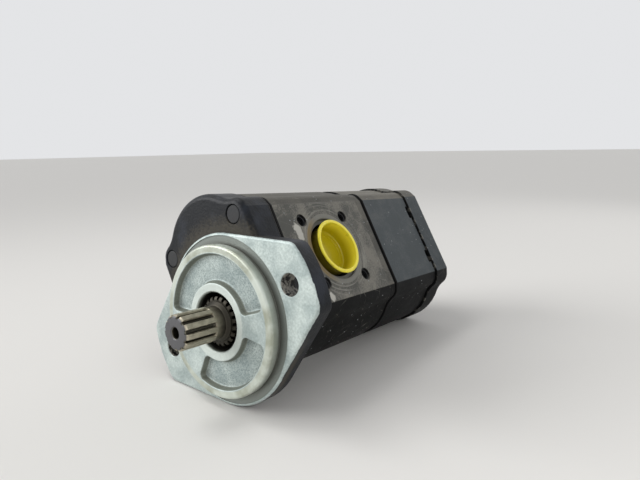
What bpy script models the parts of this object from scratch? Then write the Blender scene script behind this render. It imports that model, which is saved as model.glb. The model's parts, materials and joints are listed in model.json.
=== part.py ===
"""Tandem external gear pump with a two-bolt flange, lying on its side as it is set down on a bench.

In the pump's own frame the shaft runs along Y and points to -Y, the mounting face is at y = 0, X runs
along the two flange ears and Z from the drive gears to the idler gears. Heights on turned profiles count
along the shaft towards its free end. One empty carries every piece and lays the pump down.
"""

import math

import bmesh
import bpy
from mathutils import Matrix, Vector

MM = 0.001

# Clearances
SEAT_GAP = 0.3 * MM
BACKLASH = 0.3 * MM
TIP_GAP = 0.45 * MM

# Mounting flange, two bolts
PILOT_RADIUS = 41.275 * MM
PILOT_HEIGHT = 6.35 * MM
PILOT_RIM = 4.8 * MM
PILOT_EDGE = 1.0 * MM
EAR_MARGIN = 13.8 * MM
EAR_HOLE_RADIUS = 5.55 * MM
FLANGE_ROUND = 47.0 * MM
FLANGE_REACH = 67.0 * MM
FLANGE_CORNER = 7.0 * MM
FLANGE_THICKNESS = 10.5 * MM
FLANGE_SLOPE = math.radians(29.6)
FLANGE_EDGE = 1.2 * MM
FACE_RING_WIDTH = 4.3 * MM
FACE_RING_DEPTH = 0.5 * MM
PILOT_UNDERCUT = 1.0 * MM

# Cast pockets in the pilot face, angles from +X towards +Z
HUB_RADIUS = 21.0 * MM
POCKET_DEPTH = 3.5 * MM
POCKET_EDGE = 1.2 * MM
UPPER_POCKET = (math.radians(-10), math.radians(150))
LOWER_POCKET = (math.radians(218), math.radians(322))

# Cross-section of the stack, which keeps its proportions to the half width
BODY_HALF_WIDTH = 40.0 * MM
BODY_ROUND = 0.875 * BODY_HALF_WIDTH
LUG_INSET = 0.2325 * BODY_HALF_WIDTH
LUG_RADIUS = 0.915 * LUG_INSET
LUG_OFFSET = 0.3 * BODY_HALF_WIDTH
WAIST_FILLET = 20.0 * MM
FRONT_COVER_MARGIN = 0.8 * MM
REAR_COVER_MARGIN = 1.5 * MM
PLATE_RECESS = 0.8 * MM
BODY_CHAMFER = 0.7 * MM

# Lengths along the shaft
COVER_DEPTH = 22.0 * MM
IDLER_FACE = 3.0 * MM
COVER_EDGE = 2.5 * MM
BLOCK_LENGTH = 19.0 * MM
FRONT_GEAR_WIDTH = 42.0 * MM
REAR_GEAR_WIDTH = 17.4 * MM
PLATE_THICKNESS = 7.2 * MM
REAR_COVER_THICKNESS = 18.0 * MM
REAR_COVER_EDGE = 2.0 * MM

# Gears, as wide as the section has room for
GEAR_CENTRES = 0.9 * BODY_HALF_WIDTH
GEAR_TEETH = 12
GEAR_TIP = 0.52 * BODY_HALF_WIDTH
GEAR_ROOT = 0.3675 * BODY_HALF_WIDTH
PRESSURE_ANGLE = math.radians(27)
FLANK_STEPS = 2

# Shaft
SPLINE_TEETH = 11
SPLINE_TIP = 9.3 * MM
SPLINE_ROOT = 7.6 * MM
SHAFT_REACH = 31.8 * MM
SPLINE_END_CHAMFER = 1.2 * MM
SPLINE_LENGTH = 19.5 * MM
NECK_RADIUS = 9.0 * MM
COLLAR_TEETH = 21
COLLAR_TIP = 13.4 * MM
COLLAR_ROOT = 11.7 * MM
COLLAR_FRONT = 4.8 * MM
COLLAR_LENGTH = 9.0 * MM
JOURNAL_RADIUS = 8.75 * MM
CENTRE_HOLE_RADIUS = 3.0 * MM
CENTRE_HOLE_DEPTH = 8.0 * MM

# Shaft bore and seal
BORE_RADIUS = 16.0 * MM
SEAL_POCKET_RADIUS = 17.5 * MM
SEAL_SHOULDER = 13.0 * MM
SEAL_THICKNESS = 8.0 * MM

# Bushes, blocks and their seals
BUSH_WALL = 1.45 * MM
BLOCK_SEAL_RADIUS = 0.5 * BODY_HALF_WIDTH
BLOCK_SEAL_WIDTH = 0.07 * BLOCK_SEAL_RADIUS
BLOCK_SEAL_THICKNESS = 1.6 * MM

# Coupling between the two drive gears
COUPLING_TEETH = 8
COUPLING_TIP = 7.4 * MM
COUPLING_ROOT = 6.2 * MM
COUPLING_RADIUS = 11.8 * MM
COUPLING_LENGTH = 19.0 * MM

# Section seals
SECTION_SEAL_RADIUS = 0.625 * BODY_HALF_WIDTH
SECTION_SEAL_CORD = 1.2 * MM

# Long bolts and dowel pins
BOLT_RADIUS = 5.0 * MM
BOLT_THREAD_DEPTH = 14.0 * MM
BOLT_HEAD_RADIUS = 8.0 * MM
BOLT_HEAD_HEIGHT = 10.0 * MM
BOLT_SOCKET_RADIUS = 4.6 * MM
BOLT_SOCKET_DEPTH = 5.0 * MM
DOWEL_RADIUS = 3.0 * MM
DOWEL_LENGTH = 12.0 * MM

# Ports: bore, square of threaded holes, thread
SUCTION_BORE = 17.0 * MM
SUCTION_MOUTH = 19.2 * MM
SUCTION_PATTERN = 55.0 * MM
SUCTION_THREAD = 3.4 * MM
PRESSURE_BORE = 9.5 * MM
PRESSURE_MOUTH = 11.2 * MM
PRESSURE_PATTERN = 40.0 * MM
PRESSURE_THREAD = 3.4 * MM
REAR_PRESSURE_BORE = 7.5 * MM
REAR_PRESSURE_MOUTH = 9.2 * MM
REAR_PRESSURE_PATTERN = 35.0 * MM
REAR_PRESSURE_THREAD = 2.5 * MM
MOUTH_DEPTH = 2.5 * MM
THREAD_DEPTH = 13.0 * MM
PORT_END = 7.0 * MM
GALLERY_RADIUS = 6.0 * MM
GALLERY_OFFSET = 15.5 * MM

# Plastic caps in the ports
CAP_WALL = 1.5 * MM
CAP_RIM_PROUD = 2.0 * MM
CAP_DEPTH = 9.0 * MM
CAP_TAPER = 0.5 * MM
CAP_STEP = 0.6 * MM

# Pry slots between rear body and rear cover
PRY_SLOT_LENGTH = 10.0 * MM
PRY_SLOT_WIDTH = 2.6 * MM
PRY_SLOT_DEPTH = 3.0 * MM

# Facets, each count of sides a multiple of four so that neighbours line up
FINE_SIDES = 40
BORE_SIDES = 20
INNER_SIDES = 16
HOLE_SIDES = 12
SMALL_SIDES = 8
LUG_STEPS = 4
ROUND_STEPS = 5

# Pieces whose many cuts share faces, where the exact solver loses small ones
MANY_CUTS = ("front_cover", "rear_cover")

# Places along the shaft, worked out from the lengths
FRONT_BODY_START = COVER_DEPTH + SEAT_GAP
FRONT_BODY_END = FRONT_BODY_START + FRONT_GEAR_WIDTH + 2 * BLOCK_LENGTH + 4 * SEAT_GAP
PLATE_START = FRONT_BODY_END + SEAT_GAP
PLATE_END = PLATE_START + PLATE_THICKNESS
REAR_BODY_START = PLATE_END + SEAT_GAP
REAR_BODY_END = REAR_BODY_START + REAR_GEAR_WIDTH + 2 * BLOCK_LENGTH + 4 * SEAT_GAP
REAR_COVER_START = REAR_BODY_END + SEAT_GAP
REAR_COVER_END = REAR_COVER_START + REAR_COVER_THICKNESS
FRONT_GEAR_START = FRONT_BODY_START + BLOCK_LENGTH + 2 * SEAT_GAP
FRONT_GEAR_END = FRONT_GEAR_START + FRONT_GEAR_WIDTH
REAR_GEAR_START = REAR_BODY_START + BLOCK_LENGTH + 2 * SEAT_GAP
REAR_GEAR_END = REAR_GEAR_START + REAR_GEAR_WIDTH
COUPLING_MIDDLE = (PLATE_START + PLATE_END) / 2
COUPLING_START = COUPLING_MIDDLE - COUPLING_LENGTH / 2
COUPLING_END = COUPLING_MIDDLE + COUPLING_LENGTH / 2
FRONT_PORT_PLACE = (FRONT_GEAR_START + FRONT_GEAR_END) / 2
REAR_PORT_PLACE = (REAR_GEAR_START + REAR_GEAR_END) / 2
BOLT_HEAD_SEAT = REAR_COVER_END - BOLT_HEAD_HEIGHT - SEAT_GAP

# Places across the shaft
EAR_HOLE_PLACE = FLANGE_REACH - EAR_MARGIN
MIDDLE = GEAR_CENTRES / 2
LUG_X = BODY_HALF_WIDTH - LUG_INSET
LUG_Z = MIDDLE + LUG_OFFSET
CHAMBER_RADIUS = GEAR_TIP + TIP_GAP
BLOCK_RADIUS = CHAMBER_RADIUS - SEAT_GAP
BUSH_BORE = JOURNAL_RADIUS + SEAT_GAP
BUSH_RADIUS = BUSH_BORE + BUSH_WALL
BOLT_HOLE_RADIUS = BOLT_RADIUS + SEAT_GAP
DOWEL_PLACES = ((LUG_X, MIDDLE), (-LUG_X, -MIDDLE))

for old in list(bpy.data.objects):
    bpy.data.objects.remove(old, do_unlink=True)

pump = bpy.data.collections.new("hydraulic_pump")
cutters = bpy.data.collections.new("cutters")
root = bpy.data.objects.new("pump_root", None)


def start_scene():
    """Links the two collections, and the empty that carries the pump."""
    bpy.context.scene.unit_settings.system = "METRIC"
    bpy.context.scene.collection.children.link(pump)
    bpy.context.scene.collection.children.link(cutters)
    pump.objects.link(root)


def finish_of(name, colour, roughness, metallic):
    """A plain Principled finish."""
    material = bpy.data.materials.new(name)
    material.use_nodes = True
    shader = material.node_tree.nodes["Principled BSDF"]
    shader.inputs["Base Color"].default_value = (*colour, 1)
    shader.inputs["Roughness"].default_value = roughness
    shader.inputs["Metallic"].default_value = metallic
    material.diffuse_color = (*colour, 1)
    return material


# Outlines, as lists of (x, z) points running from +X towards +Z


def arc(centre, radius, start, stop, steps):
    """Points along an arc, from one angle to another."""
    angles = [start + (stop - start) * step / steps for step in range(steps + 1)]
    return [Vector((centre[0] + radius * math.cos(a), centre[1] + radius * math.sin(a))) for a in angles]


def without_repeats(points):
    """Leaves out each point that lies on the one before it."""
    kept = [points[0]]
    for point in points[1:]:
        if (point - kept[-1]).length > 1e-6:
            kept.append(point)
    if (kept[-1] - kept[0]).length < 1e-6:
        kept.pop()
    return kept


def all_round(quarter):
    """A whole outline from its quarter, which runs from the +X side up to the +Z side."""
    half = quarter + [Vector((-x, z)) for x, z in reversed(quarter)]
    return without_repeats(half + [Vector((-x, -z)) for x, z in half])


def circle(radius, sides, centre=(0, 0)):
    return without_repeats(arc(centre, radius, 0, 2 * math.pi, sides))


def angle_of(vector):
    return math.atan2(vector.y, vector.x)


def section(margin):
    """Cross-section of the stack about its middle: flat sides, two rounds and four lugs, grown by a margin."""
    lug = Vector((LUG_X, LUG_Z))
    lug_radius = LUG_RADIUS + margin
    end = Vector((0, MIDDLE))
    end_radius = BODY_ROUND + margin
    fillet = WAIST_FILLET - margin
    span = lug - end
    along = ((end_radius + fillet) ** 2 - (lug_radius + fillet) ** 2 + span.length_squared) / (2 * span.length)
    aside = math.sqrt((end_radius + fillet) ** 2 - along**2)
    direction = span.normalized()
    corner = end + direction * along + direction.orthogonal() * aside
    facet = math.acos(LUG_RADIUS / LUG_INSET)
    quarter = [Vector((BODY_HALF_WIDTH + margin, LUG_Z + margin * math.tan(facet / 2)))]
    quarter += arc(lug, lug_radius, facet, angle_of(corner - lug), LUG_STEPS)
    quarter += arc(corner, fillet, angle_of(lug - corner), angle_of(end - corner), 2)
    quarter += arc(end, end_radius, angle_of(corner - end), math.pi / 2, ROUND_STEPS - 1)
    return all_round(quarter)


def flange_outline():
    """Two-bolt flange: a round, two ears that end on a larger round, and straight edges between them."""
    normal = math.pi / 2 - FLANGE_SLOPE
    centre_reach = FLANGE_REACH - FLANGE_CORNER
    ear = normal - math.acos((FLANGE_ROUND - FLANGE_CORNER) / centre_reach)
    corner = (centre_reach * math.cos(ear), centre_reach * math.sin(ear))
    quarter = arc((0, 0), FLANGE_REACH, 0, ear, 3)
    quarter += arc(corner, FLANGE_CORNER, ear, normal, 3)
    quarter += arc((0, 0), FLANGE_ROUND, normal, math.pi / 2, ROUND_STEPS)
    return all_round(quarter)


def figure_eight(radius):
    """Two overlapping rounds at the gear centres, about their middle."""
    waist = -math.asin(MIDDLE / radius)
    return all_round(arc((0, MIDDLE), radius, waist, math.pi / 2, 9))


def stadium(radius):
    return all_round(arc((0, MIDDLE), radius, 0, math.pi / 2, LUG_STEPS))


def pocket(span):
    """Ring sector of a cast pocket, between the hub and the pilot rim."""
    outer = arc((0, 0), PILOT_RADIUS - PILOT_RIM, span[0], span[1], 2 * ROUND_STEPS)
    inner = arc((0, 0), HUB_RADIUS, span[1], span[0], ROUND_STEPS + 1)
    return outer + inner


def block_seal_outline(margin):
    """Seal shaped like a 3, which closes off the pressure side of both bores."""
    outer = BLOCK_SEAL_RADIUS + margin
    inner = BLOCK_SEAL_RADIUS - BLOCK_SEAL_WIDTH - margin
    reach = math.radians(75) + margin / BLOCK_SEAL_RADIUS
    outer_waist = math.asin(MIDDLE / outer)
    inner_waist = math.asin(MIDDLE / inner)
    upper = arc((0, MIDDLE), outer, -outer_waist, reach, ROUND_STEPS)
    upper += arc((0, MIDDLE), inner, reach, -inner_waist, ROUND_STEPS)
    lower = [Vector((x, -z)) for x, z in reversed(upper)]
    return without_repeats([Vector((-x, z)) for x, z in reversed(upper + lower)])


def involute(angle):
    return math.tan(angle) - angle


def gear_outline(first_tooth):
    """Involute gear, with one tooth centred on the given angle."""
    pitch_radius = GEAR_CENTRES / 2
    base_radius = pitch_radius * math.cos(PRESSURE_ANGLE)
    pitch_half = math.pi / (2 * GEAR_TEETH) - BACKLASH / (2 * pitch_radius)
    root_half = pitch_half + involute(PRESSURE_ANGLE)
    flank = [(GEAR_ROOT, root_half + 0.02)]
    for step in range(FLANK_STEPS + 1):
        radius = base_radius + (GEAR_TIP - base_radius) * step / FLANK_STEPS
        flank.append((radius, root_half - involute(math.acos(base_radius / radius))))
    outline = []
    for tooth in range(GEAR_TEETH):
        middle = first_tooth + tooth * 2 * math.pi / GEAR_TEETH
        outline += [polar(radius, middle - half) for radius, half in flank]
        outline += [polar(radius, middle + half) for radius, half in reversed(flank)]
    return outline


def polar(radius, angle):
    return Vector((radius * math.cos(angle), radius * math.sin(angle)))


def spline_outline(teeth, tip, root, grow=0.0):
    """Straight-sided spline teeth, grown all round for the piece that slides over them."""
    pitch = 2 * math.pi / teeth
    tip_half = 0.20 * pitch + grow / tip
    root_half = 0.30 * pitch + grow / root
    outline = []
    for tooth in range(teeth):
        middle = tooth * pitch
        outline.append(polar(root + grow, middle - root_half))
        outline.append(polar(tip + grow, middle - tip_half))
        outline.append(polar(tip + grow, middle + tip_half))
        outline.append(polar(root + grow, middle + root_half))
    return outline


# Solids


def link(name, mesh, finish, place=(0, 0, 0)):
    """A piece of the pump where there is a finish, otherwise a cutter."""
    piece = bpy.data.objects.new(name, mesh)
    piece.location = place
    piece.parent = root
    if finish:
        mesh.materials.append(finish)
        pump.objects.link(piece)
    else:
        piece.hide_render = True
        piece.display_type = "WIRE"
        cutters.objects.link(piece)
    return piece


def flat_solid(name, outlines, start, stop, finish=None, at=(0, 0)):
    """Extrudes the first outline, less the others, between two places along the shaft."""
    curve = bpy.data.curves.new(name, "CURVE")
    curve.dimensions = "2D"
    curve.fill_mode = "BOTH"
    curve.extrude = (stop - start) / 2
    for outline in outlines:
        spline = curve.splines.new("POLY")
        spline.points.add(len(outline) - 1)
        spline.use_cyclic_u = True
        for point, (x, z) in zip(spline.points, outline):
            point.co = (x, z, 0, 1)
    guide = bpy.data.objects.new(name + "_guide", curve)
    cutters.objects.link(guide)
    mesh = mesh_of(guide)
    bpy.data.objects.remove(guide)
    mesh.transform(Matrix.Translation((0, (start + stop) / 2, 0)) @ Matrix.Rotation(math.pi / 2, 4, "X"))
    return link(name, mesh, finish, (at[0], 0, at[1]))


def mesh_of(thing):
    """A thing's mesh with its modifiers applied, its doubles merged and its round faces smooth."""
    graph = bpy.context.evaluated_depsgraph_get()
    graph.update()
    mesh = bpy.data.meshes.new_from_object(thing.evaluated_get(graph))
    work = bmesh.new()
    work.from_mesh(mesh)
    bmesh.ops.remove_doubles(work, verts=work.verts, dist=2e-6)
    bmesh.ops.dissolve_limit(work, angle_limit=math.radians(0.1), verts=work.verts, edges=work.edges)
    work.to_mesh(mesh)
    work.free()
    mesh.shade_smooth()
    mesh.set_sharp_from_angle(angle=math.radians(35))
    return mesh


def settle(piece):
    """Applies a piece's modifiers, so that the piece is one plain mesh."""
    mesh = mesh_of(piece)
    piece.modifiers.clear()
    piece.data = mesh
    return piece


def turned(name, profile, sides, finish=None, ring=False, at=(0, 0), axis="Y"):
    """Turns a profile of (radius, height) points, listed top to bottom down its outer side."""
    edges = [(index, index + 1) for index in range(len(profile) - 1)]
    if ring:
        edges.append((len(profile) - 1, 0))
    mesh = bpy.data.meshes.new(name)
    mesh.from_pydata([(radius, 0, height) for radius, height in profile], edges, [])
    piece = link(name, mesh, finish)
    screw = piece.modifiers.new("Turn", "SCREW")
    screw.steps = sides
    screw.render_steps = sides
    screw.use_merge_vertices = True
    screw.merge_threshold = 1e-6
    settle(piece)
    if axis == "Y":
        piece.data.transform(Matrix.Rotation(math.pi / 2, 4, "X"))
        piece.location = (at[0], 0, at[1])
    return piece


def rod(name, radius, start, stop, sides, finish=None, at=(0, 0)):
    """A plain cylinder between two places along the shaft."""
    mesh = bpy.data.meshes.new(name)
    work = bmesh.new()
    bmesh.ops.create_cone(
        work, cap_ends=True, segments=sides, radius1=radius, radius2=radius, depth=stop - start
    )
    bmesh.ops.rotate(work, verts=work.verts, matrix=Matrix.Rotation(math.pi / 2, 3, "X"))
    bmesh.ops.translate(work, verts=work.verts, vec=(0, (start + stop) / 2, 0))
    work.to_mesh(mesh)
    work.free()
    mesh.shade_smooth()
    mesh.set_sharp_from_angle(angle=math.radians(35))
    return link(name, mesh, finish, (at[0], 0, at[1]))


def box(name, size, centre):
    """A cutter with square corners."""
    mesh = bpy.data.meshes.new(name)
    work = bmesh.new()
    bmesh.ops.create_cube(work, size=1)
    bmesh.ops.scale(work, verts=work.verts, vec=size)
    work.to_mesh(mesh)
    work.free()
    return link(name, mesh, None, centre)


def combine(piece, other, operation):
    """Joins another solid to a piece, cuts it away or keeps what they share."""
    boolean = piece.modifiers.new(other.name, "BOOLEAN")
    boolean.operation = operation
    boolean.solver = "MANIFOLD" if piece.name in MANY_CUTS else "EXACT"
    boolean.object = other
    settle(piece)


def cut(piece, *others):
    for other in others:
        combine(piece, other, "DIFFERENCE")


def join(piece, *others):
    for other in others:
        combine(piece, other, "UNION")


def round_end(piece, outline, place, width, steps):
    """Rounds the edge that an outline leaves at one end of a flat solid."""
    corners = {(round(x / MM, 2), round(z / MM, 2)) for x, z in outline}
    work = bmesh.new()
    work.from_mesh(piece.data)
    weight = work.edges.layers.float.new("bevel_weight_edge")
    for edge in work.edges:
        on_end = all(abs(vertex.co.y - place) < 2e-6 for vertex in edge.verts)
        on_outline = all((round(v.co.x / MM, 2), round(v.co.z / MM, 2)) in corners for v in edge.verts)
        if on_end and on_outline and edge.calc_face_angle(0) > math.radians(30):
            edge[weight] = 1.0
    work.to_mesh(piece.data)
    work.free()
    bevel = piece.modifiers.new("Edge", "BEVEL")
    bevel.limit_method = "WEIGHT"
    bevel.width = width
    bevel.segments = steps
    settle(piece)


def bolt_places():
    return [(side * LUG_X, MIDDLE + level * LUG_Z) for level in (1, -1) for side in (1, -1)]


def hole_outlines():
    """Bolt holes that every piece of the stack shares, about the middle."""
    return [circle(BOLT_HOLE_RADIUS, HOLE_SIDES, (x, z - MIDDLE)) for x, z in bolt_places()]


# Front cover


def make_front_cover(iron):
    """Casting with the mounting flange, the pilot with its pockets, and the bore for shaft and seal."""
    cover = flat_solid("front_cover", [flange_outline()], 0, FLANGE_THICKNESS, iron)
    round_end(cover, flange_outline(), 0, FLANGE_EDGE, 1)
    outline = section(FRONT_COVER_MARGIN)
    back = flat_solid("cover_back", [outline], IDLER_FACE, COVER_DEPTH, None, (0, MIDDLE))
    round_end(back, outline, IDLER_FACE, COVER_EDGE, 2)
    profile = [(0, PILOT_HEIGHT), (PILOT_RADIUS - PILOT_EDGE, PILOT_HEIGHT)]
    root_depth = -FLANGE_THICKNESS / 2
    profile += [(PILOT_RADIUS, PILOT_HEIGHT - PILOT_EDGE), (PILOT_RADIUS, root_depth), (0, root_depth)]
    join(cover, back, turned("pilot", profile, FINE_SIDES))
    ring = [circle(PILOT_RADIUS + FACE_RING_WIDTH, FINE_SIDES), circle(PILOT_RADIUS - PILOT_UNDERCUT, FINE_SIDES)]
    cut(cover, flat_solid("face_ring", ring, -1.5 * PILOT_UNDERCUT, FACE_RING_DEPTH))
    for name, span in (("upper_pocket", UPPER_POCKET), ("lower_pocket", LOWER_POCKET)):
        floor = POCKET_DEPTH - PILOT_HEIGHT
        cutter = flat_solid(name, [pocket(span)], -PILOT_HEIGHT - 2 * MM, floor)
        round_end(cutter, pocket(span), floor, POCKET_EDGE, 1)
        cut(cover, cutter)
    cut(cover, rod("shaft_bore", BORE_RADIUS, -PILOT_HEIGHT - 1 * MM, SEAL_SHOULDER + 1 * MM, BORE_SIDES))
    cut(cover, rod("seal_pocket", SEAL_POCKET_RADIUS, SEAL_SHOULDER, COVER_DEPTH + 1 * MM, INNER_SIDES))
    for side in (1, -1):
        at = (side * EAR_HOLE_PLACE, 0)
        cut(cover, rod("ear_hole", EAR_HOLE_RADIUS, -1 * MM, FLANGE_THICKNESS + 1 * MM, HOLE_SIDES, None, at))
    for x, z in bolt_places():
        depth = IDLER_FACE - 1 * MM if z > MIDDLE else COVER_DEPTH - BOLT_THREAD_DEPTH
        cut(cover, rod("bolt_thread", BOLT_HOLE_RADIUS, depth, COVER_DEPTH + 1 * MM, HOLE_SIDES, None, (x, z)))
    cut_seal_groove(cover, COVER_DEPTH, -1)
    cut_dowel_holes(cover, COVER_DEPTH)


def cut_seal_groove(piece, face, inwards):
    """Groove for the cord seal round both gears, sunk from a joint face."""
    half = SECTION_SEAL_CORD + SEAT_GAP
    rims = [stadium(SECTION_SEAL_RADIUS + half), stadium(SECTION_SEAL_RADIUS - half)]
    depth = 2 * SECTION_SEAL_CORD + SEAT_GAP
    ends = sorted((face - inwards * MM, face + inwards * depth))
    cut(piece, flat_solid("seal_groove", rims, ends[0], ends[1], None, (0, MIDDLE)))


def cut_dowel_holes(piece, face):
    """Holes for the two dowel pins that cross a joint face."""
    reach = DOWEL_LENGTH / 2 + SEAT_GAP
    for x, z in DOWEL_PLACES:
        radius = DOWEL_RADIUS + SEAT_GAP
        cut(piece, rod("dowel_hole", radius, face - reach, face + reach, SMALL_SIDES, None, (x, MIDDLE + z)))


# Pump bodies


def port_cutter(name, place, side, bore, mouth, sides):
    """A port turned about X, from outside the flat in to its end near the gears."""
    face = BODY_HALF_WIDTH
    profile = [(0, face + 1 * MM), (mouth, face + 1 * MM), (mouth, face - MOUTH_DEPTH)]
    profile += [(bore, face - MOUTH_DEPTH), (bore, PORT_END), (0, PORT_END)]
    cutter = turned(name, profile, sides, axis="X")
    cutter.data.transform(Matrix.Rotation(side * math.pi / 2, 4, "Y"))
    cutter.location = (0, place, MIDDLE)
    return cutter


def thread_cutters(name, place, side, pattern, radius):
    """Four threaded holes, their centres on a circle round a port."""
    half = pattern / 2 * math.sqrt(0.5)
    found = []
    for along in (half, -half):
        for up in (half, -half):
            cutter = rod(name, radius, -THREAD_DEPTH, 1 * MM, SMALL_SIDES)
            cutter.data.transform(Matrix.Rotation(-side * math.pi / 2, 4, "Z"))
            cutter.location = (side * BODY_HALF_WIDTH, place + along, MIDDLE + up)
            found.append(cutter)
    return found


def make_body(name, iron, start, stop):
    """Extruded section with the gear chamber and the bolt holes, chamfered at both joints."""
    outline = section(0)
    holes = [figure_eight(CHAMBER_RADIUS)] + hole_outlines()
    body = flat_solid(name, [outline] + holes, start, stop, iron, (0, MIDDLE))
    round_end(body, outline, start, BODY_CHAMFER, 1)
    round_end(body, outline, stop, BODY_CHAMFER, 1)
    cut_dowel_holes(body, start)
    cut_dowel_holes(body, stop)
    return body


def make_front_body(iron):
    body = make_body("front_body", iron, FRONT_BODY_START, FRONT_BODY_END)
    place = FRONT_PORT_PLACE
    cut(body, port_cutter("suction_port", place, 1, SUCTION_BORE, SUCTION_MOUTH, BORE_SIDES))
    cut(body, *thread_cutters("suction_thread", place, 1, SUCTION_PATTERN, SUCTION_THREAD))
    cut(body, port_cutter("pressure_port", place, -1, PRESSURE_BORE, PRESSURE_MOUTH, INNER_SIDES))
    cut(body, *thread_cutters("pressure_thread", place, -1, PRESSURE_PATTERN, PRESSURE_THREAD))
    at = (GALLERY_OFFSET, MIDDLE)
    cut(body, rod("front_gallery", GALLERY_RADIUS, place, FRONT_BODY_END + 1 * MM, HOLE_SIDES, None, at))


def make_rear_body(iron):
    body = make_body("rear_body", iron, REAR_BODY_START, REAR_BODY_END)
    place = REAR_PORT_PLACE
    cutter = port_cutter("rear_pressure_port", place, -1, REAR_PRESSURE_BORE, REAR_PRESSURE_MOUTH, INNER_SIDES)
    cut(body, cutter)
    cut(body, *thread_cutters("rear_thread", place, -1, REAR_PRESSURE_PATTERN, REAR_PRESSURE_THREAD))
    at = (GALLERY_OFFSET, MIDDLE)
    cut(body, rod("rear_gallery", GALLERY_RADIUS, REAR_BODY_START - 1 * MM, REAR_GEAR_END, HOLE_SIDES, None, at))
    cut_pry_slots(body, REAR_BODY_END)


def cut_pry_slots(piece, face):
    """Slots for a lever, level with the two gear centres on both sides."""
    for side in (1, -1):
        for z in (0, GEAR_CENTRES):
            size = (2 * PRY_SLOT_DEPTH, PRY_SLOT_WIDTH, PRY_SLOT_LENGTH)
            cut(piece, box("pry_slot", size, (side * BODY_HALF_WIDTH, face - PRY_SLOT_WIDTH / 2, z)))


def make_plate(iron):
    """Intermediate plate: coupling bore, suction gallery, bolt holes and a seal groove in each face."""
    outline = section(-PLATE_RECESS)
    holes = hole_outlines()
    holes += [circle(DOWEL_RADIUS + SEAT_GAP, SMALL_SIDES, place) for place in DOWEL_PLACES]
    holes.append(circle(COUPLING_RADIUS + SEAT_GAP, INNER_SIDES, (0, -MIDDLE)))
    holes.append(circle(GALLERY_RADIUS, HOLE_SIDES, (GALLERY_OFFSET, 0)))
    plate = flat_solid("intermediate_plate", [outline] + holes, PLATE_START, PLATE_END, iron, (0, MIDDLE))
    cut_seal_groove(plate, PLATE_START, 1)
    cut_seal_groove(plate, PLATE_END, -1)


def make_rear_cover(iron):
    """Closing cover with sunk seats for the four bolt heads."""
    outline = section(REAR_COVER_MARGIN)
    blank = [outline] + hole_outlines()
    cover = flat_solid("rear_cover", blank, REAR_COVER_START, REAR_COVER_END, iron, (0, MIDDLE))
    round_end(cover, outline, REAR_COVER_END, REAR_COVER_EDGE, 2)
    for at in bolt_places():
        radius = BOLT_HEAD_RADIUS + SEAT_GAP
        cut(cover, rod("head_seat", radius, BOLT_HEAD_SEAT - SEAT_GAP, REAR_COVER_END + 1 * MM, HOLE_SIDES, None, at))
    cut_seal_groove(cover, REAR_COVER_START, 1)
    cut_dowel_holes(cover, REAR_COVER_START)


# Turning pieces


def make_drive_shaft(steel):
    """Input shaft with its splined end, toothed collar, front drive gear and coupling spline."""
    collar_end = COLLAR_FRONT - COLLAR_LENGTH
    spline_end = SHAFT_REACH - SPLINE_LENGTH
    journal_end = -(COUPLING_START - SEAT_GAP)
    shaft_end = -(COUPLING_MIDDLE - SEAT_GAP)
    core = SPLINE_ROOT - 0.6 * MM
    profile = [(0, SHAFT_REACH - 8 * MM), (core, SHAFT_REACH - 8 * MM), (core, spline_end + 2.4 * MM)]
    profile += [(NECK_RADIUS, spline_end), (NECK_RADIUS, COLLAR_FRONT + 2.2 * MM)]
    profile += [(COLLAR_ROOT - 1 * MM, COLLAR_FRONT + 0.4 * MM), (COLLAR_ROOT, COLLAR_FRONT - 0.4 * MM)]
    profile += [(COLLAR_ROOT, collar_end + 0.5 * MM), (JOURNAL_RADIUS, collar_end - 1 * MM)]
    profile += [(JOURNAL_RADIUS, journal_end), (COUPLING_ROOT - 0.6 * MM, journal_end)]
    profile += [(COUPLING_ROOT - 0.6 * MM, shaft_end + 2 * MM), (0, shaft_end + 2 * MM)]
    shaft = turned("drive_shaft", profile, INNER_SIDES, steel)
    stub = flat_solid(
        "stub_spline", [spline_outline(SPLINE_TEETH, SPLINE_TIP, SPLINE_ROOT)], -SHAFT_REACH, 0.8 * MM - spline_end
    )
    nose = SPLINE_TIP - SPLINE_END_CHAMFER
    over = SHAFT_REACH + 1 * MM
    trim = [(0, over), (nose - 1 * MM, over), (2 * NECK_RADIUS, SHAFT_REACH - 2 * NECK_RADIUS + nose)]
    trim += [(2 * NECK_RADIUS, 0), (0, 0)]
    combine(stub, turned("stub_trim", trim, INNER_SIDES), "INTERSECT")
    collar = spline_outline(COLLAR_TEETH, COLLAR_TIP, COLLAR_ROOT - 0.1 * MM)
    teeth = flat_solid("collar_teeth", [collar], -COLLAR_FRONT, -collar_end)
    gear = flat_solid("front_gear_teeth", [gear_outline(math.pi / 2)], FRONT_GEAR_START, FRONT_GEAR_END)
    outline = spline_outline(COUPLING_TEETH, COUPLING_TIP, COUPLING_ROOT)
    tail = flat_solid("front_tail_spline", [outline], -journal_end - 1 * MM, -shaft_end)
    join(shaft, stub, teeth, gear, tail)
    hole_end = SHAFT_REACH - CENTRE_HOLE_DEPTH
    hole = [(0, SHAFT_REACH + 1 * MM), (CENTRE_HOLE_RADIUS, SHAFT_REACH + 1 * MM)]
    hole += [(CENTRE_HOLE_RADIUS, hole_end + 1.5 * MM), (0, hole_end)]
    cut(shaft, turned("centre_hole", hole, HOLE_SIDES))


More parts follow.
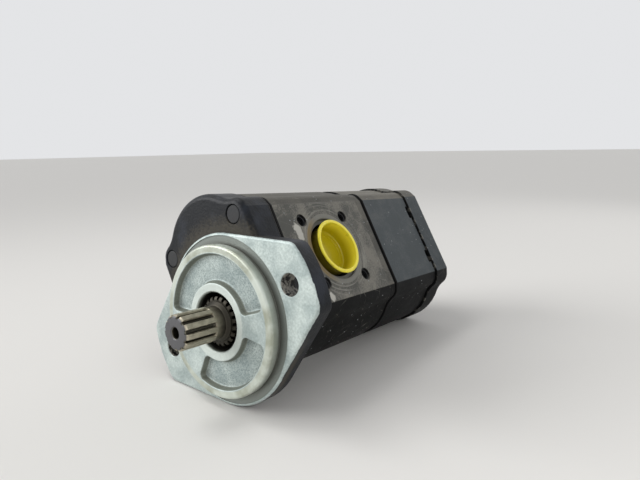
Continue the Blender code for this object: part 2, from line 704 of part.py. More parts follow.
def make_rear_drive_gear(steel):
    """Rear gear with its journals, driven through the coupling spline at its front end."""
    shaft_start = COUPLING_MIDDLE + SEAT_GAP
    journal_start = COUPLING_END + SEAT_GAP
    journal_end = REAR_BODY_END - SEAT_GAP
    core = COUPLING_ROOT - 0.6 * MM
    profile = [(0, -shaft_start - 2 * MM), (core, -shaft_start - 2 * MM), (core, -journal_start)]
    profile += [(JOURNAL_RADIUS, -journal_start), (JOURNAL_RADIUS, -journal_end), (0, -journal_end)]
    shaft = turned("rear_drive_gear", profile, INNER_SIDES, steel)
    outline = spline_outline(COUPLING_TEETH, COUPLING_TIP, COUPLING_ROOT)
    tail = flat_solid("rear_tail_spline", [outline], shaft_start, journal_start + 1 * MM)
    gear = flat_solid("rear_gear_teeth", [gear_outline(math.pi / 2)], REAR_GEAR_START, REAR_GEAR_END)
    join(shaft, gear, tail)


def make_idler(name, steel, body_start, body_end, gear_start, gear_end):
    """Idler gear with a journal on each side, its tooth spaces facing the drive gear's teeth."""
    start = body_start + SEAT_GAP
    end = body_end - SEAT_GAP
    idler = rod(name, JOURNAL_RADIUS, start, end, INNER_SIDES, steel, (0, GEAR_CENTRES))
    turn = -math.pi / 2 + math.pi / GEAR_TEETH
    teeth = flat_solid(name + "_teeth", [gear_outline(turn)], gear_start, gear_end, None, (0, GEAR_CENTRES))
    join(idler, teeth)


def make_coupling(steel):
    """Sleeve with inner teeth that joins the two drive gears."""
    inside = spline_outline(COUPLING_TEETH, COUPLING_TIP, COUPLING_ROOT, SEAT_GAP)
    outside = circle(COUPLING_RADIUS, INNER_SIDES)
    return flat_solid("coupling_sleeve", [outside, inside], COUPLING_START, COUPLING_END, steel)


# Bearing blocks, bushes and seals


def make_block(name, start, outer_face, coupled, alloy, bronze, rubber):
    """Bearing block with its two bushes and the seal in the face that lies away from the gears."""
    stop = start + BLOCK_LENGTH
    bores = [circle(BUSH_RADIUS + SEAT_GAP, INNER_SIDES, (0, side * MIDDLE)) for side in (1, -1)]
    block = flat_solid(name + "_block", [figure_eight(BLOCK_RADIUS)] + bores, start, stop, alloy, (0, MIDDLE))
    inwards = 1 if outer_face == start else -1
    depth = BLOCK_SEAL_THICKNESS + SEAT_GAP
    ends = sorted((outer_face - inwards * MM, outer_face + inwards * depth))
    groove = flat_solid(name + "_seal_groove", [block_seal_outline(SEAT_GAP)], ends[0], ends[1], None, (0, MIDDLE))
    cut(block, groove)
    recess = 0.0
    if coupled:
        recess = COUPLING_LENGTH / 2 + SEAT_GAP - abs(outer_face - COUPLING_MIDDLE)
        ends = sorted((outer_face - inwards * MM, outer_face + inwards * recess))
        cut(block, rod(name + "_recess", COUPLING_RADIUS + SEAT_GAP, ends[0], ends[1], INNER_SIDES))
    ends = sorted((outer_face, outer_face + inwards * BLOCK_SEAL_THICKNESS))
    flat_solid(name + "_block_seal", [block_seal_outline(0)], ends[0], ends[1], rubber, (0, MIDDLE))
    make_bushes(name, start, stop, inwards, recess, bronze)


def make_bushes(name, start, stop, inwards, recess, bronze):
    """Plain bushes: the drive one is shorter where the coupling reaches into the block."""
    ring = [circle(BUSH_RADIUS, INNER_SIDES), circle(BUSH_BORE, INNER_SIDES)]
    flat_solid(name + "_idler_bush", ring, start, stop, bronze, (0, GEAR_CENTRES))
    clear = recess + SEAT_GAP if recess else 0.0
    near = start + (clear if inwards > 0 else 0.0)
    far = stop - (clear if inwards < 0 else 0.0)
    flat_solid(name + "_drive_bush", ring, near, far, bronze)


def make_shaft_seal(rubber):
    """Lip seal in its pocket behind the bore's shoulder."""
    front = -(SEAL_SHOULDER + SEAT_GAP)
    back = front - SEAL_THICKNESS
    outer = SEAL_POCKET_RADIUS - SEAT_GAP
    lip = JOURNAL_RADIUS + SEAT_GAP
    profile = [(outer, front), (outer, back), (outer - 2 * MM, back), (outer - 2 * MM, front - 2.6 * MM)]
    profile += [(lip + 2 * MM, front - 4.4 * MM), (lip, front - 5.6 * MM), (lip, front - 4.6 * MM)]
    profile += [(lip + 1.6 * MM, front - 2.2 * MM), (lip + 2.4 * MM, front)]
    return turned("shaft_seal", profile, INNER_SIDES, rubber, ring=True)


def make_section_seal(name, face, inwards, rubber):
    """Cord ring lying in its groove at one joint of the stack."""
    curve = bpy.data.curves.new(name, "CURVE")
    curve.dimensions = "3D"
    curve.bevel_depth = SECTION_SEAL_CORD
    curve.bevel_resolution = 0
    spline = curve.splines.new("POLY")
    outline = stadium(SECTION_SEAL_RADIUS)
    spline.points.add(len(outline) - 1)
    spline.use_cyclic_u = True
    for point, (x, z) in zip(spline.points, outline):
        point.co = (x, 0, z, 1)
    guide = bpy.data.objects.new(name + "_guide", curve)
    cutters.objects.link(guide)
    mesh = mesh_of(guide)
    bpy.data.objects.remove(guide)
    return link(name, mesh, rubber, (0, face + inwards * SECTION_SEAL_CORD, MIDDLE))


# Fasteners and caps


def make_bolt(name, at, tip, steel):
    """Long socket-head bolt, put in from the rear cover."""
    radius = BOLT_HEAD_RADIUS
    head_top = -(BOLT_HEAD_SEAT + BOLT_HEAD_HEIGHT)
    edge = 0.8 * MM
    profile = [(0, -tip), (BOLT_RADIUS - edge, -tip), (BOLT_RADIUS, -tip - edge), (BOLT_RADIUS, -BOLT_HEAD_SEAT)]
    profile += [(radius, -BOLT_HEAD_SEAT), (radius, head_top + edge), (radius - edge, head_top), (0, head_top)]
    bolt = turned(name, profile, HOLE_SIDES, steel, at=at)
    start = BOLT_HEAD_SEAT + BOLT_HEAD_HEIGHT - BOLT_SOCKET_DEPTH
    stop = BOLT_HEAD_SEAT + BOLT_HEAD_HEIGHT + 1 * MM
    cut(bolt, rod(name + "_socket", BOLT_SOCKET_RADIUS, start, stop, 6, None, at))


def make_bolts(steel):
    names = ("upper_right_bolt", "upper_left_bolt", "lower_right_bolt", "lower_left_bolt")
    for name, at in zip(names, bolt_places()):
        upper = at[1] > MIDDLE
        tip = IDLER_FACE + SEAT_GAP if upper else COVER_DEPTH - BOLT_THREAD_DEPTH + SEAT_GAP
        make_bolt(name, at, tip, steel)


def make_dowels(steel):
    """Two dowel pins across each joint, the middle two long enough to pass right through the plate."""
    reach = DOWEL_LENGTH / 2
    spans = {"front_cover": (COVER_DEPTH - reach, COVER_DEPTH + reach)}
    spans["plate"] = (PLATE_START - reach, PLATE_END + reach)
    spans["rear_cover"] = (REAR_COVER_START - reach, REAR_COVER_START + reach)
    for joint, (start, stop) in spans.items():
        for side, (x, z) in zip(("right", "left"), DOWEL_PLACES):
            rod(f"{joint}_{side}_dowel", DOWEL_RADIUS, start, stop, SMALL_SIDES, steel, (x, MIDDLE + z))


def make_cap(name, place, side, bore, mouth, sides, plastic):
    """Push-in plastic cap: a raised rim in the port's mouth and a tapered cup that closes the bore."""
    face = BODY_HALF_WIDTH
    top = face + CAP_RIM_PROUD
    seat = face - MOUTH_DEPTH + SEAT_GAP
    rim = mouth - SEAT_GAP
    outer = bore - SEAT_GAP
    inner = outer - CAP_WALL
    floor = face - CAP_DEPTH
    edge = 0.5 * MM
    step = 0.8 * inner
    profile = [(0, floor), (step, floor), (step, floor + CAP_STEP), (inner - CAP_TAPER, floor + CAP_STEP)]
    profile += [(inner + CAP_TAPER, top), (rim - edge, top), (rim, top - edge), (rim, seat), (outer, seat)]
    profile += [(outer - CAP_TAPER, floor - CAP_WALL), (0, floor - CAP_WALL)]
    cap = turned(name, profile, sides, plastic, axis="X")
    cap.data.transform(Matrix.Rotation(side * math.pi / 2, 4, "Y"))
    cap.location = (0, place, MIDDLE)
    return cap


def lay_down():
    """Turns the pump onto a flange edge and the rear cover, centred on the ground plane."""
    rear_reach = BODY_ROUND + REAR_COVER_MARGIN
    run = REAR_COVER_END - REAR_COVER_EDGE - FLANGE_THICKNESS
    tilt = math.atan((FLANGE_ROUND - rear_reach) / run)
    turn = Matrix.Rotation(-tilt, 4, "X") @ Matrix.Rotation(-FLANGE_SLOPE, 4, "Y")
    root.matrix_world = turn
    bpy.context.view_layer.update()
    corners = []
    for piece in pump.objects:
        if piece.type == "MESH":
            corners += [piece.matrix_world @ vertex.co for vertex in piece.data.vertices]
    low = Vector([min(corner[axis] for corner in corners) for axis in range(3)])
    high = Vector([max(corner[axis] for corner in corners) for axis in range(3)])
    middle = (low + high) / 2
    root.matrix_world = Matrix.Translation((-middle.x, -middle.y, -low.z)) @ turn


def build():
    start_scene()
    iron = finish_of("black painted cast iron", (0.03, 0.032, 0.035), 0.55, 0.0)
    zinc = finish_of("zinc plated cast iron", (0.52, 0.56, 0.55), 0.4, 0.8)
    steel = finish_of("oiled gear steel", (0.22, 0.2, 0.17), 0.35, 1.0)
    alloy = finish_of("aluminium", (0.65, 0.65, 0.66), 0.4, 1.0)
    bronze = finish_of("bronze bush", (0.45, 0.3, 0.15), 0.4, 1.0)
    rubber = finish_of("black rubber", (0.02, 0.02, 0.02), 0.7, 0.0)
    plastic = finish_of("yellow plastic", (0.75, 0.65, 0.02), 0.35, 0.0)
    make_front_cover(zinc)
    make_front_body(iron)
    make_plate(iron)
    make_rear_body(iron)
    make_rear_cover(iron)
    make_drive_shaft(steel)
    make_rear_drive_gear(steel)
    make_idler("front_idler_gear", steel, FRONT_BODY_START, FRONT_BODY_END, FRONT_GEAR_START, FRONT_GEAR_END)
    make_idler("rear_idler_gear", steel, REAR_BODY_START, REAR_BODY_END, REAR_GEAR_START, REAR_GEAR_END)
    make_coupling(steel)
    make_shaft_seal(rubber)
    start = FRONT_BODY_START + SEAT_GAP
    make_block("front_fore", start, start, False, alloy, bronze, rubber)
    start = FRONT_GEAR_END + SEAT_GAP
    make_block("front_aft", start, start + BLOCK_LENGTH, True, alloy, bronze, rubber)
    start = REAR_BODY_START + SEAT_GAP
    make_block("rear_fore", start, start, True, alloy, bronze, rubber)
    start = REAR_GEAR_END + SEAT_GAP
    make_block("rear_aft", start, start + BLOCK_LENGTH, False, alloy, bronze, rubber)
    make_section_seal("front_cover_seal", COVER_DEPTH, -1, rubber)
    make_section_seal("plate_front_seal", PLATE_START, 1, rubber)
    make_section_seal("plate_rear_seal", PLATE_END, -1, rubber)
    make_section_seal("rear_cover_seal", REAR_COVER_START, 1, rubber)
    make_bolts(steel)
    make_dowels(steel)
    place = FRONT_PORT_PLACE
    make_cap("suction_cap", place, 1, SUCTION_BORE, SUCTION_MOUTH, BORE_SIDES, plastic)
    make_cap("front_pressure_cap", place, -1, PRESSURE_BORE, PRESSURE_MOUTH, INNER_SIDES, plastic)
    place = REAR_PORT_PLACE
    make_cap("rear_pressure_cap", place, -1, REAR_PRESSURE_BORE, REAR_PRESSURE_MOUTH, INNER_SIDES, plastic)
    lay_down()


build()
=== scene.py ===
"""Looks of a tandem external gear pump with a two-bolt flange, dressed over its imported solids.

Pieces are made in millimetres in the pump's own frame: the shaft runs along Y and points to -Y, the
mounting face is at y = 0, X runs along the two flange ears and Z from the drive gears to the idlers.
Each finished piece is laid down where its solid lies. Sizes repeat those of the solids.
"""

import json
import math
from collections import namedtuple

import bmesh
import bpy
import numpy as np
from mathutils import Matrix, Vector

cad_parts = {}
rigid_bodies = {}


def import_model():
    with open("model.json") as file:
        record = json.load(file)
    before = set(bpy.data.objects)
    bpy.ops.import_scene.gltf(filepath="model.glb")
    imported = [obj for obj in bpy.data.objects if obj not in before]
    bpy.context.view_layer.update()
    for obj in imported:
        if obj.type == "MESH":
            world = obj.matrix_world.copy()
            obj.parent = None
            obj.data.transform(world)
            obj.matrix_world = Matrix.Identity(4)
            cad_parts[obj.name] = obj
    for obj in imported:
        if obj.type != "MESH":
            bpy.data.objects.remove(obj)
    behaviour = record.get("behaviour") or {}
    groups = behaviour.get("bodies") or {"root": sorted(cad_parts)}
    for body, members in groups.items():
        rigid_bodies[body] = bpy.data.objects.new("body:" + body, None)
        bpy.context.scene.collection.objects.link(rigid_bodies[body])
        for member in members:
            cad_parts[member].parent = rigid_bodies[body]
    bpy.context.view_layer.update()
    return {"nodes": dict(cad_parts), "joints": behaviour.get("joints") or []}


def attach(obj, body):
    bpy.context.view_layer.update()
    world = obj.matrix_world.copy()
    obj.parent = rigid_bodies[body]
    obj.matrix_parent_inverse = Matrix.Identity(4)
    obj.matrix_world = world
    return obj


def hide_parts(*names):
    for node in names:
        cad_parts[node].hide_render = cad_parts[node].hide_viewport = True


for old in list(bpy.data.objects):
    bpy.data.objects.remove(old, do_unlink=True)
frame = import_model()

# The flange's reach and the shaft's end fall this short, so that round facets stay inside the solids' box
SHORT = 0.01

# Mounting flange and pilot
PILOT_RADIUS = 41.275
PILOT_TOP = -6.35
PILOT_UNDERCUT = 1.0
UNDERCUT_FRONT = -1.5
POCKET_OUTER = PILOT_RADIUS - 4.8
HUB_RADIUS = 21.0
POCKET_DEPTH = 3.5
POCKET_CORNER = 3.2
POCKET_SPANS = ((math.radians(-10), math.radians(150)), (math.radians(218), math.radians(322)))
# Radii of the net's loops in the hub and, as first, last and step, across the pockets
HUB_LOOPS = (9.0, 15.0, 18.0)
POCKET_LOOPS = ((19.6, 24.6, 0.25), (25, 33.4, 0.8), (33.6, 37.4, 0.25))
# Share of a pocket's depth at distances in from its edge: round top, drafted wall, fillet at the floor
WALL_PLACES = (-0.5, -0.2, 0.0, 0.2, 0.5, 0.7, 1.0, 1.4, 2.0)
WALL_DEPTHS = (0.0, 0.03, 0.1, 0.26, 0.64, 0.8, 0.91, 0.98, 1.0)
FACE_RING = PILOT_RADIUS + 4.3
FACE_RING_DEPTH = 0.5
FLANGE_ROUND = 47.0
FLANGE_REACH = 67.0 - SHORT
FLANGE_CORNER = 7.0
FLANGE_THICKNESS = 10.5
FLANGE_EDGE = 1.2
FLANGE_NORMAL = math.radians(60.4)
EAR_CORNERS = (14.5, 165.5, 194.5, 345.5)
EAR_HOLE_PLACE = 53.2
EAR_HOLE_RADIUS = 5.55
BORE_RADIUS = 16.0
SEAL_POCKET_RADIUS = 17.5
SEAL_SHOULDER = 13.0

# Cross-section of the stack
BODY_HALF_WIDTH = 40.0
BODY_ROUND = 34.8
LUG_INSET = 9.3
LUG_RADIUS = 0.915 * LUG_INSET
WAIST_FILLET = 20.0
LUG_X = BODY_HALF_WIDTH - LUG_INSET
LUG_Z = 30.0
MIDDLE = 18.0
CHAMBER_RADIUS = 21.25
SLEEVE_HOLE = 12.1

# How far each piece stands out past the bodies or in, and the rounding of its front and back edges
FRONT_COVER_LIP = 0.5
FRONT_COVER_EDGES = (3.5, 0.9)
BODY_EDGES = (0.8, 0.8)
PLATE_INSET = 0.8
PLATE_EDGES = (0.4, 0.4)
REAR_COVER_LIP = 1.5
REAR_COVER_EDGES = (0.4, 2.0)

# Places along the shaft
COVER_FACE = 3.0
COVER_END = 22.0
FRONT_BODY = (22.3, 103.5)
PLATE = (103.8, 111.0)
REAR_BODY = (111.3, 167.9)
REAR_COVER = (168.2, 186.2)
FRONT_GEAR = (41.9, 83.9)
REAR_GEAR = (130.9, 148.3)
FRONT_PORT = 62.9
REAR_PORT = 139.6
COUPLING_MIDDLE = 107.4
JOURNAL_RADIUS = 8.75
SHAFT_GAP = 0.3

# Pry slots at the rear joint: end radius, half the way between its ends, inset, depths of the cutter
SLOT_RADIUS = 1.7
SLOT_REACH = 3.3
SLOT_INSET = 1.6
SLOT_DEPTHS = (37.0, 42.0)

# Bolts
BOLT_RADIUS = 5.0
BOLT_TIPS = {"upper": COVER_FACE + 0.3, "lower": COVER_END - 13.7}
BOLT_HOLE_RADIUS = 5.3
BOLT_HOLE_ENDS = {"upper": COVER_FACE - 1, "lower": COVER_END - 14}
BOLT_SEAT = 175.9
BOLT_TOP = 185.9
BOLT_HEAD_RADIUS = 8.0
SOCKET_RADIUS = 4.6
SOCKET_DEPTH = 5.0

# Ports: the side, the place along the shaft, three radii and the circle of the threaded holes
Port = namedtuple("Port", "side place bore mouth thread circle")
PORTS = {
    "suction": Port(1, FRONT_PORT, 17.0, 19.2, 3.4, 55.0),
    "front_pressure": Port(-1, FRONT_PORT, 9.5, 11.2, 3.4, 40.0),
    "rear_pressure": Port(-1, REAR_PORT, 7.5, 9.2, 2.5, 35.0),
}
MOUTH_DEPTH = 2.5
THREAD_DEPTH = 13.0
THREAD_START = 0.8
THREAD_LENGTH = THREAD_DEPTH - 1.5
THREAD_PITCH = 1.25
THREAD_RIDGE = 0.4  # share of the pitch
PORT_END = 7.0
CAP_RISE = 3.8
CAP_DEPTH = 7.0
CAP_WALL = 2.4
CAP_STEP = 0.83  # share of the cup's inner radius

# Bright chips beside the suction port: along the shaft, up, width, height
PORT_CHIPS = ((-25.8, 12.8, 3.4, 6.2), (-19.5, -27.3, 2.2, 4.0))

# Gears and the splined shaft end
GEAR_TEETH = 12
GEAR_TIP = 20.8
GEAR_ROOT = 14.7
PRESSURE_ANGLE = math.radians(27)
BACKLASH = 0.3
SPLINE_TEETH = 11
SPLINE_TIP = 9.3
SPLINE_ROOT = 7.6
SPLINE_HALF_TOOTH = 0.36  # share of the pitch, down to the root
SPLINE_FLANK = 0.11  # share of the pitch
SHAFT_END = -31.8 + SHORT
SPLINE_END = -12.3
RUN_OUT = 2.6
NECK_RADIUS = 9.0
COLLAR_TEETH = 21
COLLAR_TIP = 13.4
COLLAR_ROOT = 11.6
COLLAR_EDGE = 12.3
COLLAR_FRONT = -4.8
COLLAR_BACK = 4.2
COUPLING_TEETH = 8
COUPLING_TIP = 7.4
COUPLING_ROOT = 6.2
TAIL_CORE = 5.6
TAIL_EDGE = 6.9
FRONT_TAIL = (97.5, 105.2)
REAR_TAIL = (109.5, 117.2)

# Facets of large rounds, shafts, wide holes, holes and bolt holes, and the creases that stay sharp
FINE = 144
SHAFT_SIDES = 96
WIDE = 64
HOLE = 48
NARROW = 32
CREASE = 42
CAST_CREASE = 21

# Stage in metres: half the floor, where the sun comes from, what the lamps face, and their places, sizes
# and powers; the world is brighter where the camera or a reflection sees it than where it lights
FLOOR_REACH = 12.0
SUN = (-0.75, -0.72, 0.45)
SUN_POWER = 2.0
SUN_SPREAD = math.radians(40)
WORLD_LIGHT = 0.55
WORLD_SEEN = 0.95
LIT = (0, 0, 0.04)
LAMPS = {
    "overhead": ((-0.28, -0.2, 0.8), 0.3, 1.6),
    "right": ((0.6, -0.3, 0.35), 0.2, 0.9),
    "back": ((0.2, 0.8, 0.6), 0.6, 0.8),
}

# Camera in the pump's frame: its place in millimetres, its aim and its upright, the lens and the sensor
VIEWPOINT = (217.5, -176.9, -31.9)
VIEW = (-0.601, 0.776, 0.190)
VIEW_UP = (0.404, 0.090, 0.910)
LENS = 28.665
SENSOR = 36.0

# The pump's frame, as its joints give it
joints = {joint["name"]: joint for joint in frame["joints"]}
along = -Vector(joints["shaft_spin"]["axis"])
across = Vector(joints["suction_cap_pull"]["axis"])
turn = Matrix((across, along, across.cross(along))).transposed()
origin = Vector(joints["shaft_spin"]["pos_m"])
to_world = Matrix.Translation(origin) @ turn.to_4x4() @ Matrix.Scale(0.001, 4)


# Shapes


def rounded(corners, steps=5):
    """Points of a profile of (radius, height, rounding) corners, with an arc at each rounded one."""
    points = []
    for index, (radius, height, rounding) in enumerate(corners):
        here = Vector((radius, height))
        if not rounding:
            points.append(here)
            continue
        before = (Vector(corners[index - 1][:2]) - here).normalized()
        after = (Vector(corners[index + 1][:2]) - here).normalized()
        half = before.angle(after) / 2
        centre = here + (before + after).normalized() * rounding / math.sin(half)
        start = here + before * rounding / math.tan(half) - centre
        stop = here + after * rounding / math.tan(half) - centre
        for step in range(steps + 1):
            share = step / steps
            points.append(centre + (start * (1 - share) + stop * share).normalized() * rounding)
    return points


def turned(profile, sides):
    """Loops of a profile turned about the shaft's line, its heights counting along Y."""
    angles = np.arange(sides) * 2 * math.pi / sides
    loops = [[(r * math.cos(a), y, r * math.sin(a)) for a in angles] for r, y in profile]
    return np.array(loops)


def section(margin):
    """Outline of the stack about its middle, grown by a margin: flat sides, two rounds and four lugs."""
    lug = Vector((LUG_X, LUG_Z))
    end = Vector((0, MIDDLE))
    lug_radius = LUG_RADIUS + margin
    end_radius = BODY_ROUND + margin
    fillet = WAIST_FILLET - margin
    span = lug - end
    near = lug_radius + fillet
    far = end_radius + fillet
    reach = (far**2 - near**2 + span.length_squared) / (2 * span.length)
    aside = math.sqrt(far**2 - reach**2)
    direction = span.normalized()
    corner = end + direction * reach + direction.orthogonal() * aside
    from_lug = math.atan2(*(corner - lug).yx)
    from_end = math.atan2(*(corner - end).yx)
    to_lug = math.atan2(*(lug - corner).yx)
    to_end = math.atan2(*(end - corner).yx)
    facet = math.acos(LUG_RADIUS / LUG_INSET)
    arcs = [(lug, lug_radius, facet, from_lug, 12), (corner, fillet, to_lug, to_end, 8)]
    arcs.append((end, end_radius, from_end, math.pi / 2, 20))
    quarter = [(BODY_HALF_WIDTH + margin, LUG_Z + margin * math.tan(facet / 2))]
    for centre, radius, start, stop, steps in arcs:
        for angle in np.linspace(start, stop, steps + 1)[:-1]:
            quarter.append((centre.x + radius * math.cos(angle), centre.y + radius * math.sin(angle)))
    quarter.append((0, MIDDLE + end_radius))
    half = quarter + [(-x, z) for x, z in reversed(quarter[:-1])]
    return half + [(-x, -z) for x, z in half]


def slab(margin, start, stop, front_edge, back_edge):
    """Loops of the section between two places, its edges rounded at both ends."""
    turns = [(1 - math.sin(angle), 1 - math.cos(angle)) for angle in np.linspace(0, math.pi / 2, 6)]
    levels = [(start + front_edge * rise, front_edge * inset) for rise, inset in reversed(turns)]
    levels += [(stop - back_edge * rise, back_edge * inset) for rise, inset in turns]
    return np.array([[(x, y, z + MIDDLE) for x, z in section(margin - inset)] for y, inset in levels])


def piece_of(name, points, faces):
    """An object with outward faces from points in the pump's millimetres."""
    mesh = bpy.data.meshes.new(name)
    mesh.from_pydata(np.asarray(points).reshape(-1, 3).tolist(), [], faces)
    work = bmesh.new()
    work.from_mesh(mesh)
    bmesh.ops.recalc_face_normals(work, faces=work.faces)
    work.to_mesh(mesh)
    work.free()
    made = bpy.data.objects.new(name, mesh)
    bpy.context.scene.collection.objects.link(made)
    return made


def around_shaft(angles, rows):
    """Loops from rows of a radius and a place along the shaft at each angle."""
    loops = []
    for radius, place in rows:
        loops.append(np.stack([radius * np.cos(angles), place, radius * np.sin(angles)], axis=1))
    return np.array(loops)


def solid(name, loops):
    """A closed piece through loops with equal counts of points, its first and last loops filled."""
    rows, columns = loops.shape[:2]
    faces = [tuple(range(columns)), tuple(range((rows - 1) * columns, rows * columns))]
    for row in range(rows - 1):
        for column in range(columns):
            low = row * columns + column
            next_low = row * columns + (column + 1) % columns
            faces.append((low, next_low, next_low + columns, low + columns))
    return piece_of(name, loops, faces)


def wedge(name, loops):
    """One pitch of a toothed piece: open along both sides, and closed to the shaft's line at both ends."""
    rows, columns = loops.shape[:2]
    faces = []
    for row in range(rows - 1):
        for column in range(columns - 1):
            low = row * columns + column
            faces.append((low, low + 1, low + columns + 1, low + columns))
    ends = [(0, loops[0][0][1], 0), (0, loops[-1][0][1], 0)]
    first, last = rows * columns, rows * columns + 1
    for column in range(columns - 1):
        faces.append((first, column + 1, column))
        faces.append((last, (rows - 1) * columns + column, (rows - 1) * columns + column + 1))
    return piece_of(name, np.vstack([loops.reshape(-1, 3), ends]), faces)


def plain_mesh(piece):
    """Applies the modifiers of a piece, which leaves one plain mesh."""
    graph = bpy.context.evaluated_depsgraph_get()
    graph.update()
    mesh = bpy.data.meshes.new_from_object(piece.evaluated_get(graph))
    piece.modifiers.clear()
    piece.data = mesh


def combine(piece, other, operation):
    """Joins another solid to a piece or cuts it away, and removes the other."""
    boolean = piece.modifiers.new("Combine", "BOOLEAN")
    boolean.operation = operation
    boolean.solver = "MANIFOLD"
    boolean.object = other
    plain_mesh(piece)
    bpy.data.objects.remove(other)


def drill(piece, corners, at, sides=HOLE, axis=Matrix()):
    """Cuts a turned hole, its profile given as rounded corners."""
    cutter = solid("hole", turned(rounded(corners), sides))
    cutter.data.transform(Matrix.Translation(at) @ axis)
    combine(piece, cutter, "DIFFERENCE")


def sideways(side):
    """Turns the shaft's direction to one side of the body."""
    return Matrix.Rotation(-side * math.pi / 2, 4, "Z")


# Nodes: the kinds and the settings that come up often

MATH = "ShaderNodeMath"
VECTORS = "ShaderNodeVectorMath"
NOISE = "ShaderNodeTexNoise"
BAND = "ShaderNodeMapRange"
BLEND = "ShaderNodeMix"
PARTS = "ShaderNodeSeparateXYZ"
NORMAL = "ShaderNodeNewGeometry"
HIDDEN = "ShaderNodeAmbientOcclusion"
TURNED = "ShaderNodeMapping"
TIMES = {"operation": "MULTIPLY"}
LESS = {"operation": "SUBTRACT"}
SCALED = {"operation": "MULTIPLY_ADD"}
LARGER = {"operation": "MAXIMUM"}
SIZE = {"operation": "ABSOLUTE"}
LENGTH = {"operation": "LENGTH"}
COLOURS = {"data_type": "RGBA"}
OWN_CORNERS = {"samples": 8, "only_local": True}
SMOOTH = "SMOOTHSTEP"


def add(tree, kind, settings, inputs):
    """Adds a node with its settings; an input takes a number, a colour or another node's output."""
    made = tree.nodes.new(kind)
    for name, value in settings.items():
        setattr(made, name, value)
    for key, value in inputs.items():
        if isinstance(value, bpy.types.NodeSocket):
            tree.links.new(value, made.inputs[key])
        else:
            made.inputs[key].default_value = value
    return made.outputs


def start_tree(name, result, labels):
    """A node tree with named inputs and one result, and the node that gives its inputs."""
    tree = bpy.data.node_groups.new(name, "GeometryNodeTree")
    for label, kind in labels.items():
        tree.interface.new_socket(label, in_out="INPUT", socket_type="NodeSocket" + kind)
    tree.interface.new_socket(result, in_out="OUTPUT", socket_type="NodeSocketGeometry")
    return tree, add(tree, "NodeGroupInput", {}, {})


def copies_tree():
    """Puts a copy of a piece on each place, turned about the shaft by its number times an angle."""
    labels = {"Places": "Geometry", "Piece": "Object", "Angle": "Float", "Merge": "Float"}
    labels["Finish"] = "Material"
    tree, given = start_tree("copies on places", "Copies", labels)
    number = add(tree, "GeometryNodeInputIndex", {}, {})["Index"]
    angle = add(tree, MATH, TIMES, {0: number, 1: given["Angle"]})[0]
    rotation = add(tree, "ShaderNodeCombineXYZ", {}, {"Y": angle})["Vector"]
    one = add(tree, "GeometryNodeObjectInfo", {}, {"Object": given["Piece"]})["Geometry"]
    wanted = {"Points": given["Places"], "Instance": one, "Rotation": rotation}
    placed = add(tree, "GeometryNodeInstanceOnPoints", {}, wanted)["Instances"]
    real = add(tree, "GeometryNodeRealizeInstances", {}, {"Geometry": placed})["Geometry"]
    merged = add(tree, "GeometryNodeMergeByDistance", {}, {"Geometry": real, "Distance": given["Merge"]})
    wanted = {"Geometry": merged["Geometry"], "Material": given["Finish"]}
    finished = add(tree, "GeometryNodeSetMaterial", {}, wanted)["Geometry"]
    add(tree, "NodeGroupOutput", {}, {"Copies": finished})
    return tree


def thread_tree():
    """Winds a thread's ridge down each of several holes."""
    labels = {"Places": "Geometry", "Radius": "Float", "Pitch": "Float", "Depth": "Float"}
    labels.update({"Lean": "Rotation", "Finish": "Material"})
    tree, given = start_tree("threads in holes", "Threads", labels)
    turns = add(tree, MATH, {"operation": "DIVIDE"}, {0: given["Depth"], 1: given["Pitch"]})[0]
    wanted = {"Resolution": 20, "Rotations": turns, "Height": given["Depth"]}
    wanted.update({"Start Radius": given["Radius"], "End Radius": given["Radius"]})
    coil = add(tree, "GeometryNodeCurveSpiral", {}, wanted)["Curve"]
    size = add(tree, MATH, TIMES, {0: given["Pitch"], 1: THREAD_RIDGE})[0]
    ridge = add(tree, "GeometryNodeCurvePrimitiveCircle", {}, {"Resolution": 4, "Radius": size})["Curve"]
    wanted = {"Curve": coil, "Profile Curve": ridge, "Fill Caps": True}
    wound = add(tree, "GeometryNodeCurveToMesh", {}, wanted)["Mesh"]
    wanted = {"Points": given["Places"], "Instance": wound, "Rotation": given["Lean"]}
    placed = add(tree, "GeometryNodeInstanceOnPoints", {}, wanted)["Instances"]
    real = add(tree, "GeometryNodeRealizeInstances", {}, {"Geometry": placed})["Geometry"]
    wanted = {"Geometry": real, "Material": given["Finish"]}
    finished = add(tree, "GeometryNodeSetMaterial", {}, wanted)["Geometry"]
    add(tree, "NodeGroupOutput", {}, {"Threads": finished})
    return tree


def grown(name, places, tree, values):
    """A plain mesh that a node tree grows on places, with its inputs set by their labels."""
    mesh = bpy.data.meshes.new(name)
    mesh.from_pydata([tuple(place) for place in places], [], [])
    made = bpy.data.objects.new(name, mesh)
    bpy.context.scene.collection.objects.link(made)
    modifier = made.modifiers.new("Grow", "NODES")
    modifier.node_group = tree
    for item in tree.interface.items_tree:
        if item.name in values:
            modifier[item.identifier] = values[item.name]
    plain_mesh(made)
    return made


# Colours, layers and the pump's own coordinates


def colour(code):
    """Linear colour of an sRGB hex value."""
    parts = [int(code[place : place + 2], 16) / 255 for place in (1, 3, 5)]
    return (*[part / 12.92 if part <= 0.04045 else ((part + 0.055) / 1.055) ** 2.4 for part in parts], 1)


def start_material(name, roughness, metallic):
    """A material with its tree, its shader and the pump's own coordinates in millimetres."""
    made = bpy.data.materials.new(name)
    made.use_nodes = True
    tree = made.node_tree
    shader = tree.nodes["Principled BSDF"]
    shader.inputs["Roughness"].default_value = roughness
    shader.inputs["Metallic"].default_value = metallic
    back = turn.transposed()
    here = add(tree, "ShaderNodeTexCoord", {}, {})["Object"]
    wanted = {"Vector": here, "Scale": (1000, 1000, 1000), "Rotation": back.to_euler()}
    wanted["Location"] = back @ origin * -1000
    return made, tree, shader, add(tree, TURNED, {}, wanted)["Vector"]


